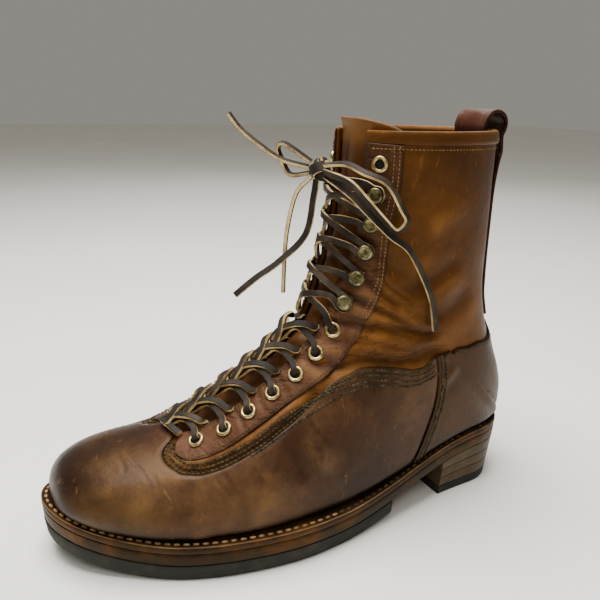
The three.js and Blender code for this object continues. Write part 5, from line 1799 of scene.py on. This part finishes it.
# Welt stitches: a row of thick linen thread, locked through welt and midsole with one long
# stitch every five millimetres, pale at the forepart and grimed dark at the waist.
welt_stitch = (4.1, 1.9, 1.6)
welt_pitch = 5.2
welt_seam_reach = -2.3
welt_seam_end = 0.93
grimed_from = 0.5
ring = sole_ring(welt_seam_reach, count=900)
ring[:, 2] = welt_top(along_last(ring[:, 1]))
ring = ring[along_last(ring[:, 1]) < welt_seam_end]
# In order round the sole, as seen from a point near the heel
order = np.argsort(np.arctan2(ring[:, 0] - frame_shift, -(ring[:, 1] - 140)))
ring = ring[order]
along = np.r_[0, np.cumsum(np.linalg.norm(np.diff(ring, axis=0), axis=1))]
pale, grimed = bmesh.new(), bmesh.new()
for mark in np.arange(0, along[-1], welt_pitch):
    point = at_mark(mark, along, ring)
    ahead = (at_mark(mark + 1, along, ring) - point).normalized()
    cross = Vector((0, 0, 1)).cross(ahead).normalized()
    seat = (point + Vector((0, 0, 0.15))) * MM
    mesh = pale if along_last(point.y) < grimed_from else grimed
    stitch(mesh, seat, ahead, cross, ahead.cross(cross), welt_stitch)
for name, mesh, thread in (
    ("welt_stitches", pale, pale_thread), ("waist_stitches", grimed, dark_thread)
):
    make_piece(name, mesh, [thread])


# Floor and light, which aren't part of the boot: a pale painted floor under wide, soft light from
# overhead, with a little from the outer side and from behind, in a pale grey room.
def pale_floor():
    """Matt painted board, faintly mottled."""
    material, place = new_material("matt_painted_board")
    cloud = add(material, "TexNoise", Vector=place, Scale=3, Detail=3)[0]
    tint = add(material, "ValToRGB", Fac=cloud, stops=((0.3, "#f5f2e9"), (0.7, "#faf8f1")))[0]
    shader = add(material, "BsdfPrincipled", Base_Color=tint, Roughness=0.8)[0]
    add(material, "OutputMaterial", Surface=shader)
    return material


mesh = bmesh.new()
bmesh.ops.create_grid(mesh, x_segments=2, y_segments=2, size=6)
data = bpy.data.meshes.new("floor_board")
mesh.to_mesh(data)
mesh.free()
data.materials.append(pale_floor())
floor_board = bpy.data.objects.new("floor_board", data)
bpy.context.scene.collection.objects.link(floor_board)

world = bpy.data.worlds.new("studio")
world.use_nodes = True
world.node_tree.nodes["Background"].inputs[0].default_value = colour("#ece8dc")
world.node_tree.nodes["Background"].inputs[1].default_value = 0.33
bpy.context.scene.world = world

soft_boxes = [
    ("overhead_box", (-0.1, -0.15, 1.3), (0, 0, 0.1), 0.8, 38),
    ("outer_side_box", (0.9, -0.35, 1.2), (0, -0.05, 0.08), 0.5, 4.5),
    ("back_wall_box", (-1.2, 0.9, 1.0), (0, 0, 0.12), 1.0, 4),
]
for name, place, aim, width, power in soft_boxes:
    lamp = bpy.data.lights.new(name, "AREA")
    lamp.size = width
    lamp.energy = power
    holder = bpy.data.objects.new(name, lamp)
    holder.location = place
    holder.rotation_euler = (Vector(aim) - Vector(place)).to_track_quat("-Z", "Y").to_euler()
    bpy.context.scene.collection.objects.link(holder)
